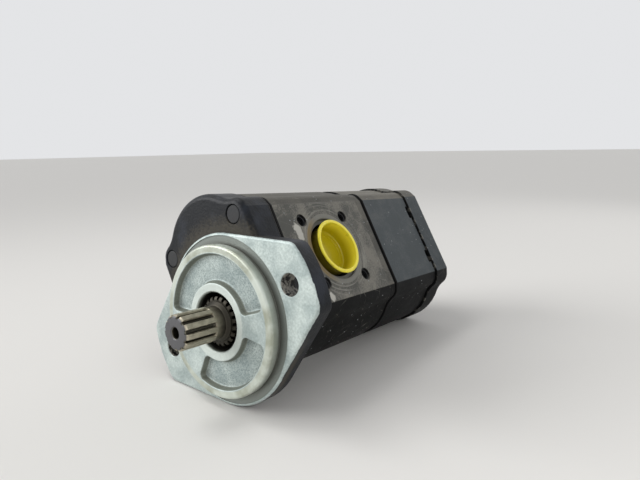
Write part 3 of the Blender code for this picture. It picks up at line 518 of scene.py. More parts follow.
def coat(tree, under, over, most, *bands):
    """Lays one colour over another, and gives the result and how much of the upper one shows.

    Each band is a value with where it starts and stops, and SMOOTH where its ends are eased. All the
    bands have to hold. Most is a number or another share, and a colour is a hex value or an output.
    """
    for value, start, stop, *eased in bands:
        settings = {"interpolation_type": eased[0]} if eased else {}
        wanted = {"Value": value, "From Min": start, "From Max": stop, "To Max": most}
        most = add(tree, BAND, settings, wanted)[0]
    tones = [colour(tone) if isinstance(tone, str) else tone for tone in (under, over)]
    return add(tree, BLEND, COLOURS, {0: most, 6: tones[0], 7: tones[1]})[2], most


def link_up(tree, shader, outputs, height, strength, distance):
    """Links a material's outputs to its shader, with a relief of that strength and depth in metres."""
    wanted = {"Height": height, "Strength": strength, "Distance": distance}
    outputs["Normal"] = add(tree, "ShaderNodeBump", {}, wanted)["Normal"]
    for name, output in outputs.items():
        tree.links.new(output, shader.inputs[name])


def zinc_and_paint():
    """Cast iron, machined on the pilot and the ring, zinc plated in front and painted black behind.

    The plating shows as a pale grey with a green cast and a soft sheen over sand-cast grain. The
    paint is satin and starts behind the flange's front edge in a chipped line. Dust lies on top.
    """
    made, tree, shader, place = start_material("zinc plated cast iron, painted behind", 0.5, 0.0)
    shader.inputs["Specular IOR Level"].default_value = 0.2
    depth = add(tree, PARTS, {}, {"Vector": place})["Y"]
    flat = add(tree, VECTORS, TIMES, {0: place, 1: (1, 0, 1)})["Vector"]
    radius = add(tree, VECTORS, LENGTH, {0: flat})["Value"]
    facing = add(tree, NORMAL, {}, {})["Normal"]
    upward = add(tree, PARTS, {}, {"Vector": facing})["Z"]
    frontal = add(tree, VECTORS, {"operation": "DOT_PRODUCT"}, {0: facing, 1: -along})["Value"]

    # Clouds of 12 mm in the plating, cast grain of 1.2 mm, the pockets' grit of 0.7 mm, chips of 3 mm
    noises = []
    for scale, detail in ((0.08, 4.0), (0.8, 3.0), (1.5, 2.0), (0.35, 5.0)):
        noises.append(add(tree, NOISE, {}, {"Vector": place, "Scale": scale, "Detail": detail})["Fac"])
    cloud, grain, grit, ragged = noises
    zinc, plated = coat(tree, "#acb8b6", "#cdd7d3", 1.0, (cloud, 0.38, 0.62))
    dull = coat(tree, "#9aa5a3", "#ffffff", 1.0, (grain, 0.3, 0.7))[0]
    settings = {"data_type": "RGBA", "blend_type": "MULTIPLY"}
    zinc = add(tree, BLEND, settings, {0: 0.4, 6: zinc, 7: dull})[2]

    # The pockets keep their cast skin, coarser and speckled dark, with painted shade on their floors and
    # walls
    within = (radius, POCKET_OUTER + 0.5, POCKET_OUTER)
    sunk = (depth, PILOT_TOP + 0.3, PILOT_TOP + 1.2)
    zinc = coat(tree, zinc, "#6a7776", 0.5, (grit, 0.52, 0.4), sunk, within)[0]
    # A little darker and bluer on the pocket floors: the cast skin's tint and painted shade
    zinc = coat(tree, zinc, "#7d8b8d", 0.15, sunk, within)[0]
    # Browner and darker on walls that turn from the front: painted shade in the pockets, with some dirt
    zinc = coat(tree, zinc, "#6c6d60", 0.8, (frontal, 0.92, 0.55), within)[0]

    # The hub's front is brighter than the rest
    on_hub = (radius, HUB_RADIUS + 0.2, HUB_RADIUS - 0.8)
    in_front = (depth, PILOT_TOP + 0.6, PILOT_TOP + 0.2)
    zinc = coat(tree, zinc, "#dae1da", 0.6, on_hub, in_front)[0]

    # Machined pilot rim with an olive passivated tint; its side and the ring round its foot are darker,
    # painted shade at the pilot's foot
    bright = coat(tree, "#a3a797", "#ccd3c9", plated)[0]
    # Darker below the rim's front: painted shade on the pilot's side and round its foot
    bright = coat(tree, bright, "#8d938e", 1.0, (depth, -6.2, 0.2))[0]
    outside = (radius, POCKET_OUTER + 0.4, POCKET_OUTER + 1.0, SMOOTH)
    inside = (radius, FACE_RING + 0.1, FACE_RING - 0.2, SMOOTH)
    surface, machined = coat(tree, zinc, bright, 1.0, outside, inside)

    # Painted shade in the corners, brown with the oil and dust that settle there, and painted shade deep in
    # the bore
    hidden = add(tree, HIDDEN, OWN_CORNERS, {"Distance": 0.006})["AO"]
    surface = coat(tree, surface, "#57544a", 0.85, (hidden, 0.82, 0.3))[0]
    # Near black down the bore: painted shade
    in_bore = (radius, BORE_RADIUS + 0.5, BORE_RADIUS + 0.2)
    surface = coat(tree, surface, "#23211d", 1.0, in_bore, (depth, PILOT_TOP + 1.0, PILOT_TOP + 3.0))[0]

    # Black satin paint: grey where scuffed, dusty on top, brown round the flange's waist, and black at the
    # joint, which is painted shade of its gap and dirt
    lying = add(tree, MATH, TIMES, {0: upward, 1: grain})[0]
    dusty = add(tree, MATH, SCALED, {0: grain, 1: -14.0, 2: radius})[0]
    paint = coat(tree, "#0f1217", "#23272f", 1.0, (cloud, 0.5, 0.68))[0]
    paint = coat(tree, paint, "#3f3e3c", 0.4, (lying, 0.3, 0.6))[0]
    near_front = ((depth, 1.5, 2.5), (depth, 6.5, 4.5))
    paint = coat(tree, paint, "#4f4a3e", 0.6, (dusty, 52.0, 40.0, SMOOTH), *near_front)[0]
    # Black at the joint: painted shade of the gap, and dirt
    paint = coat(tree, paint, "#040404", 1.0, (depth, COVER_END - 1.7, COVER_END - 1.5))[0]

    # The chipped line between plating and paint, which stays off the bore
    line = add(tree, MATH, SCALED, {0: ragged, 1: -1.6, 2: depth})[0]
    off_bore = (radius, BORE_RADIUS + 1.8, BORE_RADIUS + 2.2)
    surface, painted = coat(tree, surface, paint, 1.0, (line, 0.1, 0.5, SMOOTH), off_bore)

    # Painted shade on the walls of the two ear holes, flecked with grey as painted glints
    folded = add(tree, VECTORS, SIZE, {0: flat})["Vector"]
    wanted = {0: folded, 1: (EAR_HOLE_PLACE, 0, 0)}
    from_hole = add(tree, VECTORS, {"operation": "DISTANCE"}, wanted)["Value"]
    wall = coat(tree, "#0d0e0e", "#8d8a82", 1.0, (ragged, 0.46, 0.56))[0]
    in_hole = (from_hole, EAR_HOLE_RADIUS + 0.25, EAR_HOLE_RADIUS + 0.05)
    surface, drilled = coat(tree, surface, wall, 1.0, in_hole)

    # Sheen: plating about 0.5 rough, machined faces 0.32, paint 0.42, each with its grain
    covered = add(tree, MATH, LARGER, {0: painted, 1: drilled})[0]
    metallic = add(tree, BAND, {}, {"Value": covered, "To Min": 0.35, "To Max": 0.0})[0]
    sheen = add(tree, BAND, {}, {"Value": machined, "To Min": 0.4, "To Max": 0.22})[0]
    sheen = add(tree, BLEND, {}, {0: covered, 2: sheen, 3: 0.32})[0]
    sheen = add(tree, MATH, SCALED, {0: grain, 1: 0.2, 2: sheen})[0]

    # Tool marks are 0.2 mm apart on the real rim and drawn 0.8 mm apart, so that they show
    marks = add(tree, MATH, TIMES, {0: radius, 1: 2 * math.pi / 0.8})[0]
    marks = add(tree, MATH, {"operation": "SINE"}, {0: marks})[0]
    marks = add(tree, MATH, TIMES, {0: marks, 1: 0.04})[0]
    relief = add(tree, BLEND, {}, {0: machined, 2: grain, 3: marks})[0]
    outputs = {"Base Color": surface, "Metallic": metallic, "Roughness": sheen}
    link_up(tree, shader, outputs, relief, 0.5, 0.00025)
    return made


def worn_paint(name, flat, low, face, rubbed, top, joints_at, scratched, ring=None):
    """Black paint on cast iron: near black below, rubbed grey on the flat sides and dusty on top.

    Flat is how far out the flat sides lie. The four colours are for what faces down, the flat sides,
    their rubbed clouds and what faces up.
    The joints are pairs of a place along the shaft and how far the black at it reaches, which is dirt and
    painted shade of the joint's gap, and scratched is how much its scratches show. The ring is a port's
    side, place and mouth: the face round it is scuffed in circles and chipped to bare metal.
    """
    made, tree, shader, place = start_material(name, 0.5, 0.0)
    shader.inputs["Specular IOR Level"].default_value = 0.14
    parts = add(tree, PARTS, {}, {"Vector": place})

    # Clouds of 20 mm with sand-cast grain of 1 mm in them
    wanted = {"Vector": place, "Scale": 0.05, "Detail": 6.0, "Roughness": 0.6}
    cloud = add(tree, NOISE, {}, wanted)["Fac"]
    grain = add(tree, NOISE, {}, {"Vector": place, "Scale": 0.9, "Detail": 4.0})["Fac"]
    blotch = add(tree, MATH, SCALED, {0: grain, 1: 0.4, 2: cloud})[0]

    # Nearly black where it is neither flat nor dusty, with rubbed clouds on the flat sides
    outward = add(tree, MATH, SIZE, {0: parts["X"]})[0]
    flank = coat(tree, face, rubbed, 1.0, (blotch, 0.58, 0.86, SMOOTH))[0]
    surface = coat(tree, low, flank, 1.0, (outward, flat - 0.3, flat - 0.1))[0]

    # Dust on what faces up, thicker over the clouds and the grain
    facing = add(tree, NORMAL, {}, {})["Normal"]
    upward = add(tree, PARTS, {}, {"Vector": facing})["Z"]
    lying = add(tree, MATH, SCALED, {0: blotch, 1: 0.5, 2: upward})[0]
    surface = coat(tree, surface, top, 1.0, (lying, 0.85, 1.2))[0]

    # Scratches up to 30 mm long that cross each other, 0.2 mm wide on the real one and drawn at 0.5 mm
    marks = 0.0
    for lean in (0.35, 1.25, 2.1, 2.75):
        wanted = {"Vector": place, "Rotation": (lean, 0.15, 0), "Scale": (4.0, 28.0, 0.9)}
        stretched = add(tree, TURNED, {"vector_type": "TEXTURE"}, wanted)["Vector"]
        streak = add(tree, NOISE, {}, {"Vector": stretched, "Scale": 1.0, "Detail": 1.0})["Fac"]
        streak = add(tree, BAND, {}, {"Value": streak, "From Min": 0.71, "From Max": 0.8})[0]
        marks = add(tree, MATH, LARGER, {0: marks, 1: streak})[0]
    surface = coat(tree, surface, "#98958c", scratched, (marks, 0.0, 1.0))[0]

    # Pale specks of dried paint, 0.8 mm across
    wanted = {"Vector": place, "Scale": 0.19, "Randomness": 1.0}
    cells = add(tree, "ShaderNodeTexVoronoi", {}, wanted)["Distance"]
    surface = coat(tree, surface, "#9a9e9f", 1.0, (cells, 0.085, 0.065))[0]

    # Paint chipped off the edges at the joints, and black in the joints themselves: painted shade of their
    # gaps, and dirt
    ragged = add(tree, NOISE, {}, {"Vector": place, "Scale": 0.25, "Detail": 6.0})["Fac"]
    bare = 0.0
    dirt_and_gap_shade = 0.0
    for end, reach in joints_at:
        away = add(tree, MATH, LESS, {0: parts["Y"], 1: end})[0]
        away = add(tree, MATH, SIZE, {0: away})[0]
        chip = add(tree, MATH, SCALED, {0: ragged, 1: -9.0, 2: away})[0]
        chip = add(tree, BAND, {}, {"Value": chip, "From Min": -4.7, "From Max": -5.2})[0]
        wanted = {"Value": away, "From Min": reach + 0.1, "From Max": reach - 0.1}
        dirty_and_shaded = add(tree, BAND, {}, wanted)[0]
        bare = add(tree, MATH, LARGER, {0: bare, 1: chip})[0]
        dirt_and_gap_shade = add(tree, MATH, LARGER, {0: dirt_and_gap_shade, 1: dirty_and_shaded})[0]
    surface = coat(tree, surface, "#8d8a82", 0.5, (bare, 0.0, 1.0))[0]
    # Black at the joints: painted shade of their gaps, and dirt
    surface = coat(tree, surface, "#040404", dirt_and_gap_shade)[0]
    bare = add(tree, MATH, {"operation": "SUBTRACT", "use_clamp": True}, {0: bare, 1: dirt_and_gap_shade})[0]

    # Painted shade in the slots, seats and corners: black where the surface is hemmed in
    hidden = add(tree, HIDDEN, OWN_CORNERS, {"Distance": 0.003})["AO"]
    surface = coat(tree, surface, "#060606", 1.0, (hidden, 0.72, 0.5))[0]

    # Circles scuffed round a port, the turned ring at its mouth, browner towards the flange, and two bright
    # chips
    relief = add(tree, MATH, SCALED, {0: marks, 1: -0.6, 2: grain})[0]
    if ring:
        side, port, mouth = ring
        centred = add(tree, VECTORS, LESS, {0: place, 1: (0, port, MIDDLE)})["Vector"]
        offset = add(tree, VECTORS, TIMES, {0: centred, 1: (0, 1, 1)})["Vector"]
        away = add(tree, VECTORS, LENGTH, {0: offset})["Value"]
        sides = add(tree, PARTS, {}, {"Vector": offset})
        round_it = add(tree, MATH, {"operation": "ARCTAN2"}, {0: sides["Z"], 1: sides["Y"]})[0]
        round_it = add(tree, MATH, TIMES, {0: round_it, 1: 1.2})[0]
        tracks = add(tree, "ShaderNodeCombineXYZ", {}, {"X": away, "Y": round_it})["Vector"]
        circles = add(tree, NOISE, {}, {"Vector": tracks, "Scale": 0.8, "Detail": 3.0})["Fac"]
        out_there = add(tree, MATH, TIMES, {0: parts["X"], 1: side})[0]
        on_face = (out_there, flat - 0.3, flat - 0.1)
        near = (away, mouth + 15.0, mouth + 6.0, SMOOTH)
        surface = coat(tree, surface, "#96948c", 0.6, (circles, 0.5, 0.62), near, on_face)[0]
        metal = coat(tree, "#82817b", "#85734f", 1.0, (sides["Y"], -6.0, -18.0, SMOOTH))[0]
        at_mouth = (away, mouth + 3.4, mouth + 2.8)
        surface, shown = coat(tree, surface, metal, 0.8, at_mouth, (out_there, flat - 3.2, flat - 2.8))
        ridges = add(tree, MATH, TIMES, {0: circles, 1: 1.25})[0]
        relief = add(tree, MATH, SCALED, {0: ridges, 1: shown, 2: relief})[0]
        for chip_y, chip_z, width, height in PORT_CHIPS:
            wanted = {0: offset, 1: (0, 1 / width, 1 / height), 2: (0, -chip_y / width, -chip_z / height)}
            aside = add(tree, VECTORS, SCALED, wanted)["Vector"]
            aside = add(tree, VECTORS, LENGTH, {0: aside})["Value"]
            aside = add(tree, MATH, SCALED, {0: ragged, 1: 2.6, 2: aside})[0]
            surface, chip = coat(tree, surface, "#b4b2aa", 1.0, (aside, 2.3, 2.0), on_face)
            bare = add(tree, MATH, LARGER, {0: bare, 1: chip})[0]
    metallic = add(tree, MATH, TIMES, {0: bare, 1: 0.5})[0]
    wanted = {"Value": blotch, "From Min": 0.45, "From Max": 0.95, "To Min": 0.5, "To Max": 0.7}
    sheen = add(tree, BAND, {}, wanted)[0]
    outputs = {"Base Color": surface, "Metallic": metallic, "Roughness": sheen}
    link_up(tree, shader, outputs, relief, 0.5, 0.0002)
    return made


def ground_metal(name, low, high, roughness, metallic, coarse):
    """A metal with cloudy tarnish and fine tool marks round the shaft, which dull its shine.

    Coarse is how far apart the marks are drawn in millimetres, so that they show.
    """
    made, tree, shader, place = start_material(name, roughness, metallic)
    cloud = add(tree, NOISE, {}, {"Vector": place, "Scale": 0.25, "Detail": 5.0})["Fac"]
    surface = coat(tree, low, high, 1.0, (cloud, 0.35, 0.65))[0]
    wanted = {"Value": cloud, "To Min": roughness - 0.1, "To Max": roughness + 0.15}
    sheen = add(tree, BAND, {}, wanted)[0]
    rows = add(tree, TURNED, {}, {"Vector": place, "Scale": (0.3, 1 / coarse, 0.3)})["Vector"]
    marks = add(tree, NOISE, {}, {"Vector": rows, "Scale": 1.0, "Detail": 2.0})["Fac"]
    link_up(tree, shader, {"Base Color": surface, "Roughness": sheen}, marks, 0.3, 0.0001)
    return made


def splined_steel():
    """Case-hardened steel, oiled and browned: olive flanks and a dull grey end, with painted shade in the
    grooves and deeper in the bore.
    """
    made, tree, shader, place = start_material("oiled case-hardened steel", 0.38, 0.8)
    flat = add(tree, VECTORS, TIMES, {0: place, 1: (1, 0, 1)})["Vector"]
    radius = add(tree, VECTORS, LENGTH, {0: flat})["Value"]
    depth = add(tree, PARTS, {}, {"Vector": place})["Y"]
    cloud = add(tree, NOISE, {}, {"Vector": place, "Scale": 0.35, "Detail": 5.0})["Fac"]
    surface = coat(tree, "#918b7a", "#bfb8a4", 1.0, (cloud, 0.2, 0.8))[0]
    low = (radius, SPLINE_ROOT + 1.0, SPLINE_ROOT + 0.5, SMOOTH)
    # Dark down the spline's grooves: painted shade
    surface = coat(tree, surface, "#3b382f", 1.0, low, (depth, SHAFT_END + 0.4, SHAFT_END + 1.4))[0]
    surface = coat(tree, surface, "#626264", 1.0, (depth, SHAFT_END + 0.7, SHAFT_END + 0.3))[0]
    # Darker from the neck back into the bore, over the collar: painted shade
    surface = coat(tree, surface, "#35322b", 1.0, (depth, SPLINE_END - 1.0, COLLAR_FRONT - 1.5))[0]
    sheen = add(tree, BAND, {}, {"Value": cloud, "To Min": 0.3, "To Max": 0.55})[0]
    fine = add(tree, NOISE, {}, {"Vector": place, "Scale": 1.6, "Detail": 3.0})["Fac"]
    link_up(tree, shader, {"Base Color": surface, "Roughness": sheen}, fine, 0.25, 0.0001)
    return made


def cap_plastic(name, middle):
    """Yellow polyethylene, injection moulded and waxy, with painted light: lighter up at the rim, darker
    down in the cup, and a painted brown shadow under the lip.

    The middle is how far along the shaft the middle of the cap lies.
    """
    made, tree, shader, place = start_material(name, 0.28, 0.0)
    cloud = add(tree, NOISE, {}, {"Vector": place, "Scale": 0.2, "Detail": 4.0})["Fac"]
    side = add(tree, PARTS, {}, {"Vector": place})["X"]
    outward = add(tree, MATH, SIZE, {0: side})[0]
    # Lighter up towards the rim and darker down in the cup: a painted highlight on the rim and painted shade
    # in the cup
    rising = (outward, BODY_HALF_WIDTH - 4.0, BODY_HALF_WIDTH + 1.5)
    surface = coat(tree, "#b8a80a", "#f2e23c", 1.0, rising)[0]
    surface = coat(tree, surface, "#5e5417", 0.4, (cloud, 0.6, 0.75))[0]

    # Painted shadow on the wall that faces out from the cap's own line, below its lip
    centred = add(tree, VECTORS, LESS, {0: place, 1: (0, middle, MIDDLE)})["Vector"]
    spoke = add(tree, VECTORS, TIMES, {0: centred, 1: (0, 1, 1)})["Vector"]
    normal = add(tree, NORMAL, {}, {})["Normal"]
    facing = add(tree, TURNED, {}, {"Vector": normal, "Rotation": turn.transposed().to_euler()})["Vector"]
    facing = add(tree, VECTORS, {"operation": "DOT_PRODUCT"}, {0: spoke, 1: facing})["Value"]
    below = (outward, BODY_HALF_WIDTH + 2.9, BODY_HALF_WIDTH + 2.4)
    surface = coat(tree, surface, "#3b3010", 0.85, (facing, 1.0, 4.0), below)[0]
    shader.inputs["Subsurface Weight"].default_value = 0.15
    shader.inputs["Subsurface Radius"].default_value = (1.0, 0.8, 0.1)
    shader.inputs["Subsurface Scale"].default_value = 0.0015
    shader.inputs["IOR"].default_value = 1.51
    fine = add(tree, NOISE, {}, {"Vector": place, "Scale": 0.6, "Detail": 2.0})["Fac"]
    link_up(tree, shader, {"Base Color": surface}, fine, 0.3, 0.0002)
    return made


def moulded_rubber():
    """Nitrile rubber, moulded: black, dull, with a fine grey bloom."""
    made, tree, shader, place = start_material("moulded nitrile rubber", 0.62, 0.0)
    bloom = add(tree, NOISE, {}, {"Vector": place, "Scale": 0.6, "Detail": 4.0})["Fac"]
    surface = coat(tree, "#121212", "#2b2b2a", bloom)[0]
    tree.links.new(surface, shader.inputs["Base Color"])
    return made


# Finishing


def dress(piece, body, slot, finish, *nodes, crease=CREASE):
    """Lays a piece down in its place, smooths it up to a crease, and has it stand for its solids."""
    piece.data.transform(to_world)
    piece.data.shade_smooth()
    piece.data.set_sharp_from_angle(angle=math.radians(crease))
    weighted = piece.modifiers.new("Even flats", "WEIGHTED_NORMAL")
    weighted.keep_sharp = True
    plain_mesh(piece)
    piece.data.materials.clear()
    piece.data.materials.append(finish)
    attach(piece, body)
    if nodes:
        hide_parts(*nodes)


# Front cover


def flange_radius(angles, inset):
    """How far the flange's outline reaches at each angle, less an inset."""
    folded = np.abs((angles + math.pi / 2) % math.pi - math.pi / 2)
    reach = FLANGE_REACH - FLANGE_CORNER
    ear = FLANGE_NORMAL - math.acos((FLANGE_ROUND - FLANGE_CORNER) / reach)
    corner = FLANGE_CORNER - inset
    tangent_x = reach * math.cos(ear) + corner * math.cos(FLANGE_NORMAL)
    tangent_z = reach * math.sin(ear) + corner * math.sin(FLANGE_NORMAL)
    off = reach * np.sin(folded - ear)
    on_corner = reach * np.cos(folded - ear) + np.sqrt(np.maximum(corner**2 - off**2, 0))
    on_line = (FLANGE_ROUND - inset) / np.cos(folded - FLANGE_NORMAL)
    cases = [folded <= ear, folded <= math.atan2(tangent_z, tangent_x), folded < FLANGE_NORMAL]
    return np.select(cases, [FLANGE_REACH - inset, on_corner, on_line], FLANGE_ROUND - inset)


def pocket_depth(radius, angles):
    """How deep the cast pockets are at a radius, with drafted walls and rounded corners."""
    depth = np.zeros_like(angles)
    for start, stop in POCKET_SPANS:
        middle = (start + stop) / 2
        aside = np.abs((angles - middle + math.pi) % (2 * math.pi) - math.pi)
        past_ends = (aside - (stop - start) / 2) * radius
        past_rims = np.full_like(angles, max(HUB_RADIUS - radius, radius - POCKET_OUTER))
        beyond = np.array([past_ends, past_rims]) + POCKET_CORNER
        outside = np.hypot(*np.maximum(beyond, 0)) + np.minimum(beyond.max(axis=0), 0) - POCKET_CORNER
        wall = np.interp(-outside, WALL_PLACES, WALL_DEPTHS)
        depth = np.maximum(depth, wall * POCKET_DEPTH)
    return depth


def cover_columns():
    """Angles of the cover's columns, a degree apart and closer at the ear corners and the webs."""
    angles = set(range(0, 3600, 10))
    for corner in EAR_CORNERS:
        angles.update(round(corner * 10 + step * 4) for step in range(-8, 9))
    for web in np.degrees(POCKET_SPANS).ravel() % 360:
        angles.update(round(web * 10 + step * 5) for step in range(-14, 15))
    return np.radians(np.array(sorted(angle % 3600 for angle in angles)) / 10)


def make_front_cover(finish):
    """Flange and pilot as one net of columns round the shaft, joined to the cover's block and drilled."""
    angles = np.unique(cover_columns())
    level = np.zeros_like(angles)
    rows = [(level + radius, level + PILOT_TOP) for radius in HUB_LOOPS]
    for first, last, step in POCKET_LOOPS:
        for radius in np.arange(first, last, step):
            rows.append((level + radius, PILOT_TOP + pocket_depth(radius, angles)))
    pilot = [(38.2, PILOT_TOP, 0), (PILOT_RADIUS, PILOT_TOP, 1.5), (PILOT_RADIUS, UNDERCUT_FRONT, 0.15)]
    foot = PILOT_RADIUS - PILOT_UNDERCUT
    pilot += [(foot, UNDERCUT_FRONT, 0), (foot, FACE_RING_DEPTH, 0.2)]
    pilot += [(FACE_RING, FACE_RING_DEPTH, 0), (FACE_RING, 0, 0.12), (FACE_RING + 0.2, 0, 0)]
    rows += [(level + radius, level + height) for radius, height in rounded(pilot)]
    start = FACE_RING + 0.2
    face_end = flange_radius(angles, FLANGE_EDGE)
    rows += [(start + (face_end - start) * share, level) for share in (0.02, 0.3, 0.6, 1.0)]
    back = FLANGE_THICKNESS
    edge = []
    for angle in np.linspace(0, math.pi / 2, 7)[1:]:
        edge.append((FLANGE_EDGE * (1 - math.cos(angle)), FLANGE_EDGE * (1 - math.sin(angle))))
    edge += [(3.0, 0), (6.0, 0), (back - 0.6, 0), (back - 0.2, 0.15), (back, 0.6)]
    rows += [(flange_radius(angles, inset), level + height) for height, inset in edge]
    rows.append((level + HUB_LOOPS[0], level + back))
    cover = solid("front_cover_casting", around_shaft(angles, rows))
    block = solid("cover_block", slab(FRONT_COVER_LIP, COVER_FACE, COVER_END, *FRONT_COVER_EDGES))
    combine(cover, block, "UNION")
    bore = [(BORE_RADIUS + 2.0, PILOT_TOP - 1.2, 0), (BORE_RADIUS, PILOT_TOP + 0.8, 0.3)]
    bore += [(BORE_RADIUS, SEAL_SHOULDER, 0), (SEAL_POCKET_RADIUS, SEAL_SHOULDER, 0)]
    bore.append((SEAL_POCKET_RADIUS, COVER_END + 1, 0))
    drill(cover, bore, (0, 0, 0), FINE)
    hole = [(EAR_HOLE_RADIUS + 1.5, -1.0, 0), (EAR_HOLE_RADIUS, 0.5, 0.3)]
    hole += [(EAR_HOLE_RADIUS, back - 0.4, 0.3), (EAR_HOLE_RADIUS + 1.4, back + 1, 0)]
    for side in (1, -1):
        drill(cover, hole, (side * EAR_HOLE_PLACE, 0, 0), WIDE)
    for pair, places in bolt_pairs().items():
        start = BOLT_HOLE_ENDS[pair]
        chamfer = [(BOLT_HOLE_RADIUS + 1.3, start, 0)] if pair == "upper" else []
        bolt_hole = chamfer + [(BOLT_HOLE_RADIUS, start + 1.3, 0), (BOLT_HOLE_RADIUS, COVER_END + 1, 0)]
        for place in places:
            drill(cover, bolt_hole, place)
    dress(cover, "housing", "zinc_plated_iron", finish, "front_cover", crease=CAST_CREASE)


def bolt_pairs():
    """Where the upper and the lower pair of bolts run, right before left."""
    heights = {"upper": MIDDLE + LUG_Z, "lower": MIDDLE - LUG_Z}
    return {pair: [(side * LUG_X, 0, height) for side in (1, -1)] for pair, height in heights.items()}


# Bodies, plate and rear cover


def chamber(start, stop):
    """Two overlapping rounds for the gears."""
    waist = -math.asin(MIDDLE / CHAMBER_RADIUS)
    arc = np.linspace(waist, math.pi - waist, 72)
    upper = [(CHAMBER_RADIUS * math.cos(a), MIDDLE + CHAMBER_RADIUS * math.sin(a)) for a in arc]
    outline = upper[:-1] + [(-x, -z) for x, z in upper[:-1]]
    loops = [[(x, y, z + MIDDLE) for x, z in outline] for y in (start - 1, stop + 1)]
    return solid("chamber", np.array(loops))


def drill_port(piece, name):
    """One port with its mouth, and its four threaded holes."""
    port = PORTS[name]
    face = BODY_HALF_WIDTH
    out = sideways(port.side)
    profile = [(port.mouth + 1.4, face + 1, 0), (port.mouth, face - 0.4, 0.3)]
    profile += [(port.mouth, face - MOUTH_DEPTH, 0.2), (port.bore, face - MOUTH_DEPTH, 0.3)]
    profile.append((port.bore, PORT_END, 0))
    drill(piece, profile, (0, port.place, MIDDLE), FINE, out)
    hole = [(port.thread + 1.7, face + 1, 0), (port.thread, face - 0.7, 0.2)]
    hole += [(port.thread, face - THREAD_DEPTH, 0), (0.4, face - THREAD_DEPTH - 2, 0)]
    for centre in thread_places(port, 0):
        drill(piece, hole, centre, HOLE, out)


def thread_places(port, out):
    """Where the four threaded holes of a port run, that far out from the shaft."""
    half = port.circle / 2 * math.sqrt(0.5)
    corners = ((half, half), (half, -half), (-half, half), (-half, -half))
    return [(port.side * out, port.place + y, MIDDLE + z) for y, z in corners]


def drill_through(piece, start, stop):
    """The four bolt holes from one end of a piece to the other."""
    hole = [(BOLT_HOLE_RADIUS, start - 1, 0), (BOLT_HOLE_RADIUS, stop + 1, 0)]
    for places in bolt_pairs().values():
        for place in places:
            drill(piece, hole, place, NARROW)


def make_body(node, span, ports, finish):
    """A body of the stack with its gear chamber, bolt holes and ports."""
    start, stop = span
    body = solid(f"{node}_casting", slab(0, start, stop, *BODY_EDGES))
    combine(body, chamber(start, stop), "DIFFERENCE")
    drill_through(body, start, stop)
    for port in ports:
        drill_port(body, port)
    if node == "rear_body":
        cut_pry_slots(body, stop)
    dress(body, "housing", "black_painted_iron", finish, node, crease=CAST_CREASE)


def cut_pry_slots(body, face):
    """Slots for a lever at the rear joint, level with the gear centres, their ends rounded by the cutter."""
    for side in (1, -1):
        for z in (0, 2 * MIDDLE):
            loops = []
            for depth in SLOT_DEPTHS:
                loops.append([(side * depth, face - SLOT_INSET + y, z + up) for y, up in slot_outline()])
            combine(body, solid("slot", np.array(loops)), "DIFFERENCE")


def slot_outline():
    """Outline of a pry slot as offsets along the shaft and up, 10 mm long, its ends rounded."""
    points = []
    for centre, start in ((SLOT_REACH, 0), (-SLOT_REACH, math.pi)):
        for angle in np.linspace(start, start + math.pi, 9):
            points.append((SLOT_RADIUS * math.cos(angle), centre + SLOT_RADIUS * math.sin(angle)))
    return points


def make_plate(finish):
    """Intermediate plate, a little smaller than the bodies, so that a dark line runs round it."""
    start, stop = PLATE
    plate = solid("plate_casting", slab(-PLATE_INSET, start, stop, *PLATE_EDGES))
    drill(plate, [(SLEEVE_HOLE, start - 1, 0), (SLEEVE_HOLE, stop + 1, 0)], (0, 0, 0), HOLE)
    drill_through(plate, start, stop)
    dress(plate, "housing", "black_painted_iron", finish, "intermediate_plate", crease=CAST_CREASE)


def make_rear_cover(finish):
    """Closing cover with sunk seats for the bolt heads."""
    start, stop = REAR_COVER
    cover = solid("rear_cover_casting", slab(REAR_COVER_LIP, start, stop, *REAR_COVER_EDGES))
    seat = [(BOLT_HOLE_RADIUS, start - 1, 0), (BOLT_HOLE_RADIUS, BOLT_SEAT - 0.3, 0)]
    seat += [(BOLT_HEAD_RADIUS + 0.3, BOLT_SEAT - 0.3, 0), (BOLT_HEAD_RADIUS + 0.3, stop - 0.4, 0.2)]
    seat.append((BOLT_HEAD_RADIUS + 1.6, stop + 0.9, 0))
    for places in bolt_pairs().values():
        for place in places:
            drill(cover, seat, place, WIDE)
    dress(cover, "housing", "black_painted_iron", finish, "rear_cover", crease=CAST_CREASE)


# Bolts


def make_bolts(tree, finish):
    """Four socket-head bolts: the upper pair shows in the front cover, the lower pair stops inside it."""
    angles = np.arange(HOLE) * 2 * math.pi / HOLE
    hexagon = SOCKET_RADIUS * math.cos(math.pi / 6) / np.cos(angles % (math.pi / 3) - math.pi / 6)
    floor = BOLT_TOP - SOCKET_DEPTH
    for pair, places in bolt_pairs().items():
        tip = BOLT_TIPS[pair]
        rows = [(hexagon * 0.2, floor - 0.8), (hexagon, floor), (hexagon, BOLT_TOP - 0.5)]
        outside = [(SOCKET_RADIUS + 0.35, BOLT_TOP, 0), (BOLT_HEAD_RADIUS, BOLT_TOP, 0.8)]
        outside += [(BOLT_HEAD_RADIUS, BOLT_SEAT, 0.3), (BOLT_RADIUS, BOLT_SEAT, 0)]
        outside += [(BOLT_RADIUS, tip, 0.7), (0.6, tip, 0)]
        rows += rounded(outside)
        bolt = solid("bolt", around_shaft(angles, [(r, np.full_like(angles, y)) for r, y in rows]))
        values = {"Piece": bolt, "Angle": 0.4, "Merge": 0.0, "Finish": finish}
        made = grown(f"{pair}_bolts", places, tree, values)
        bpy.data.objects.remove(bolt)
        dress(made, "housing", "blackened_bolt_steel", finish, f"{pair}_right_bolt", f"{pair}_left_bolt")


# Gears and shafts


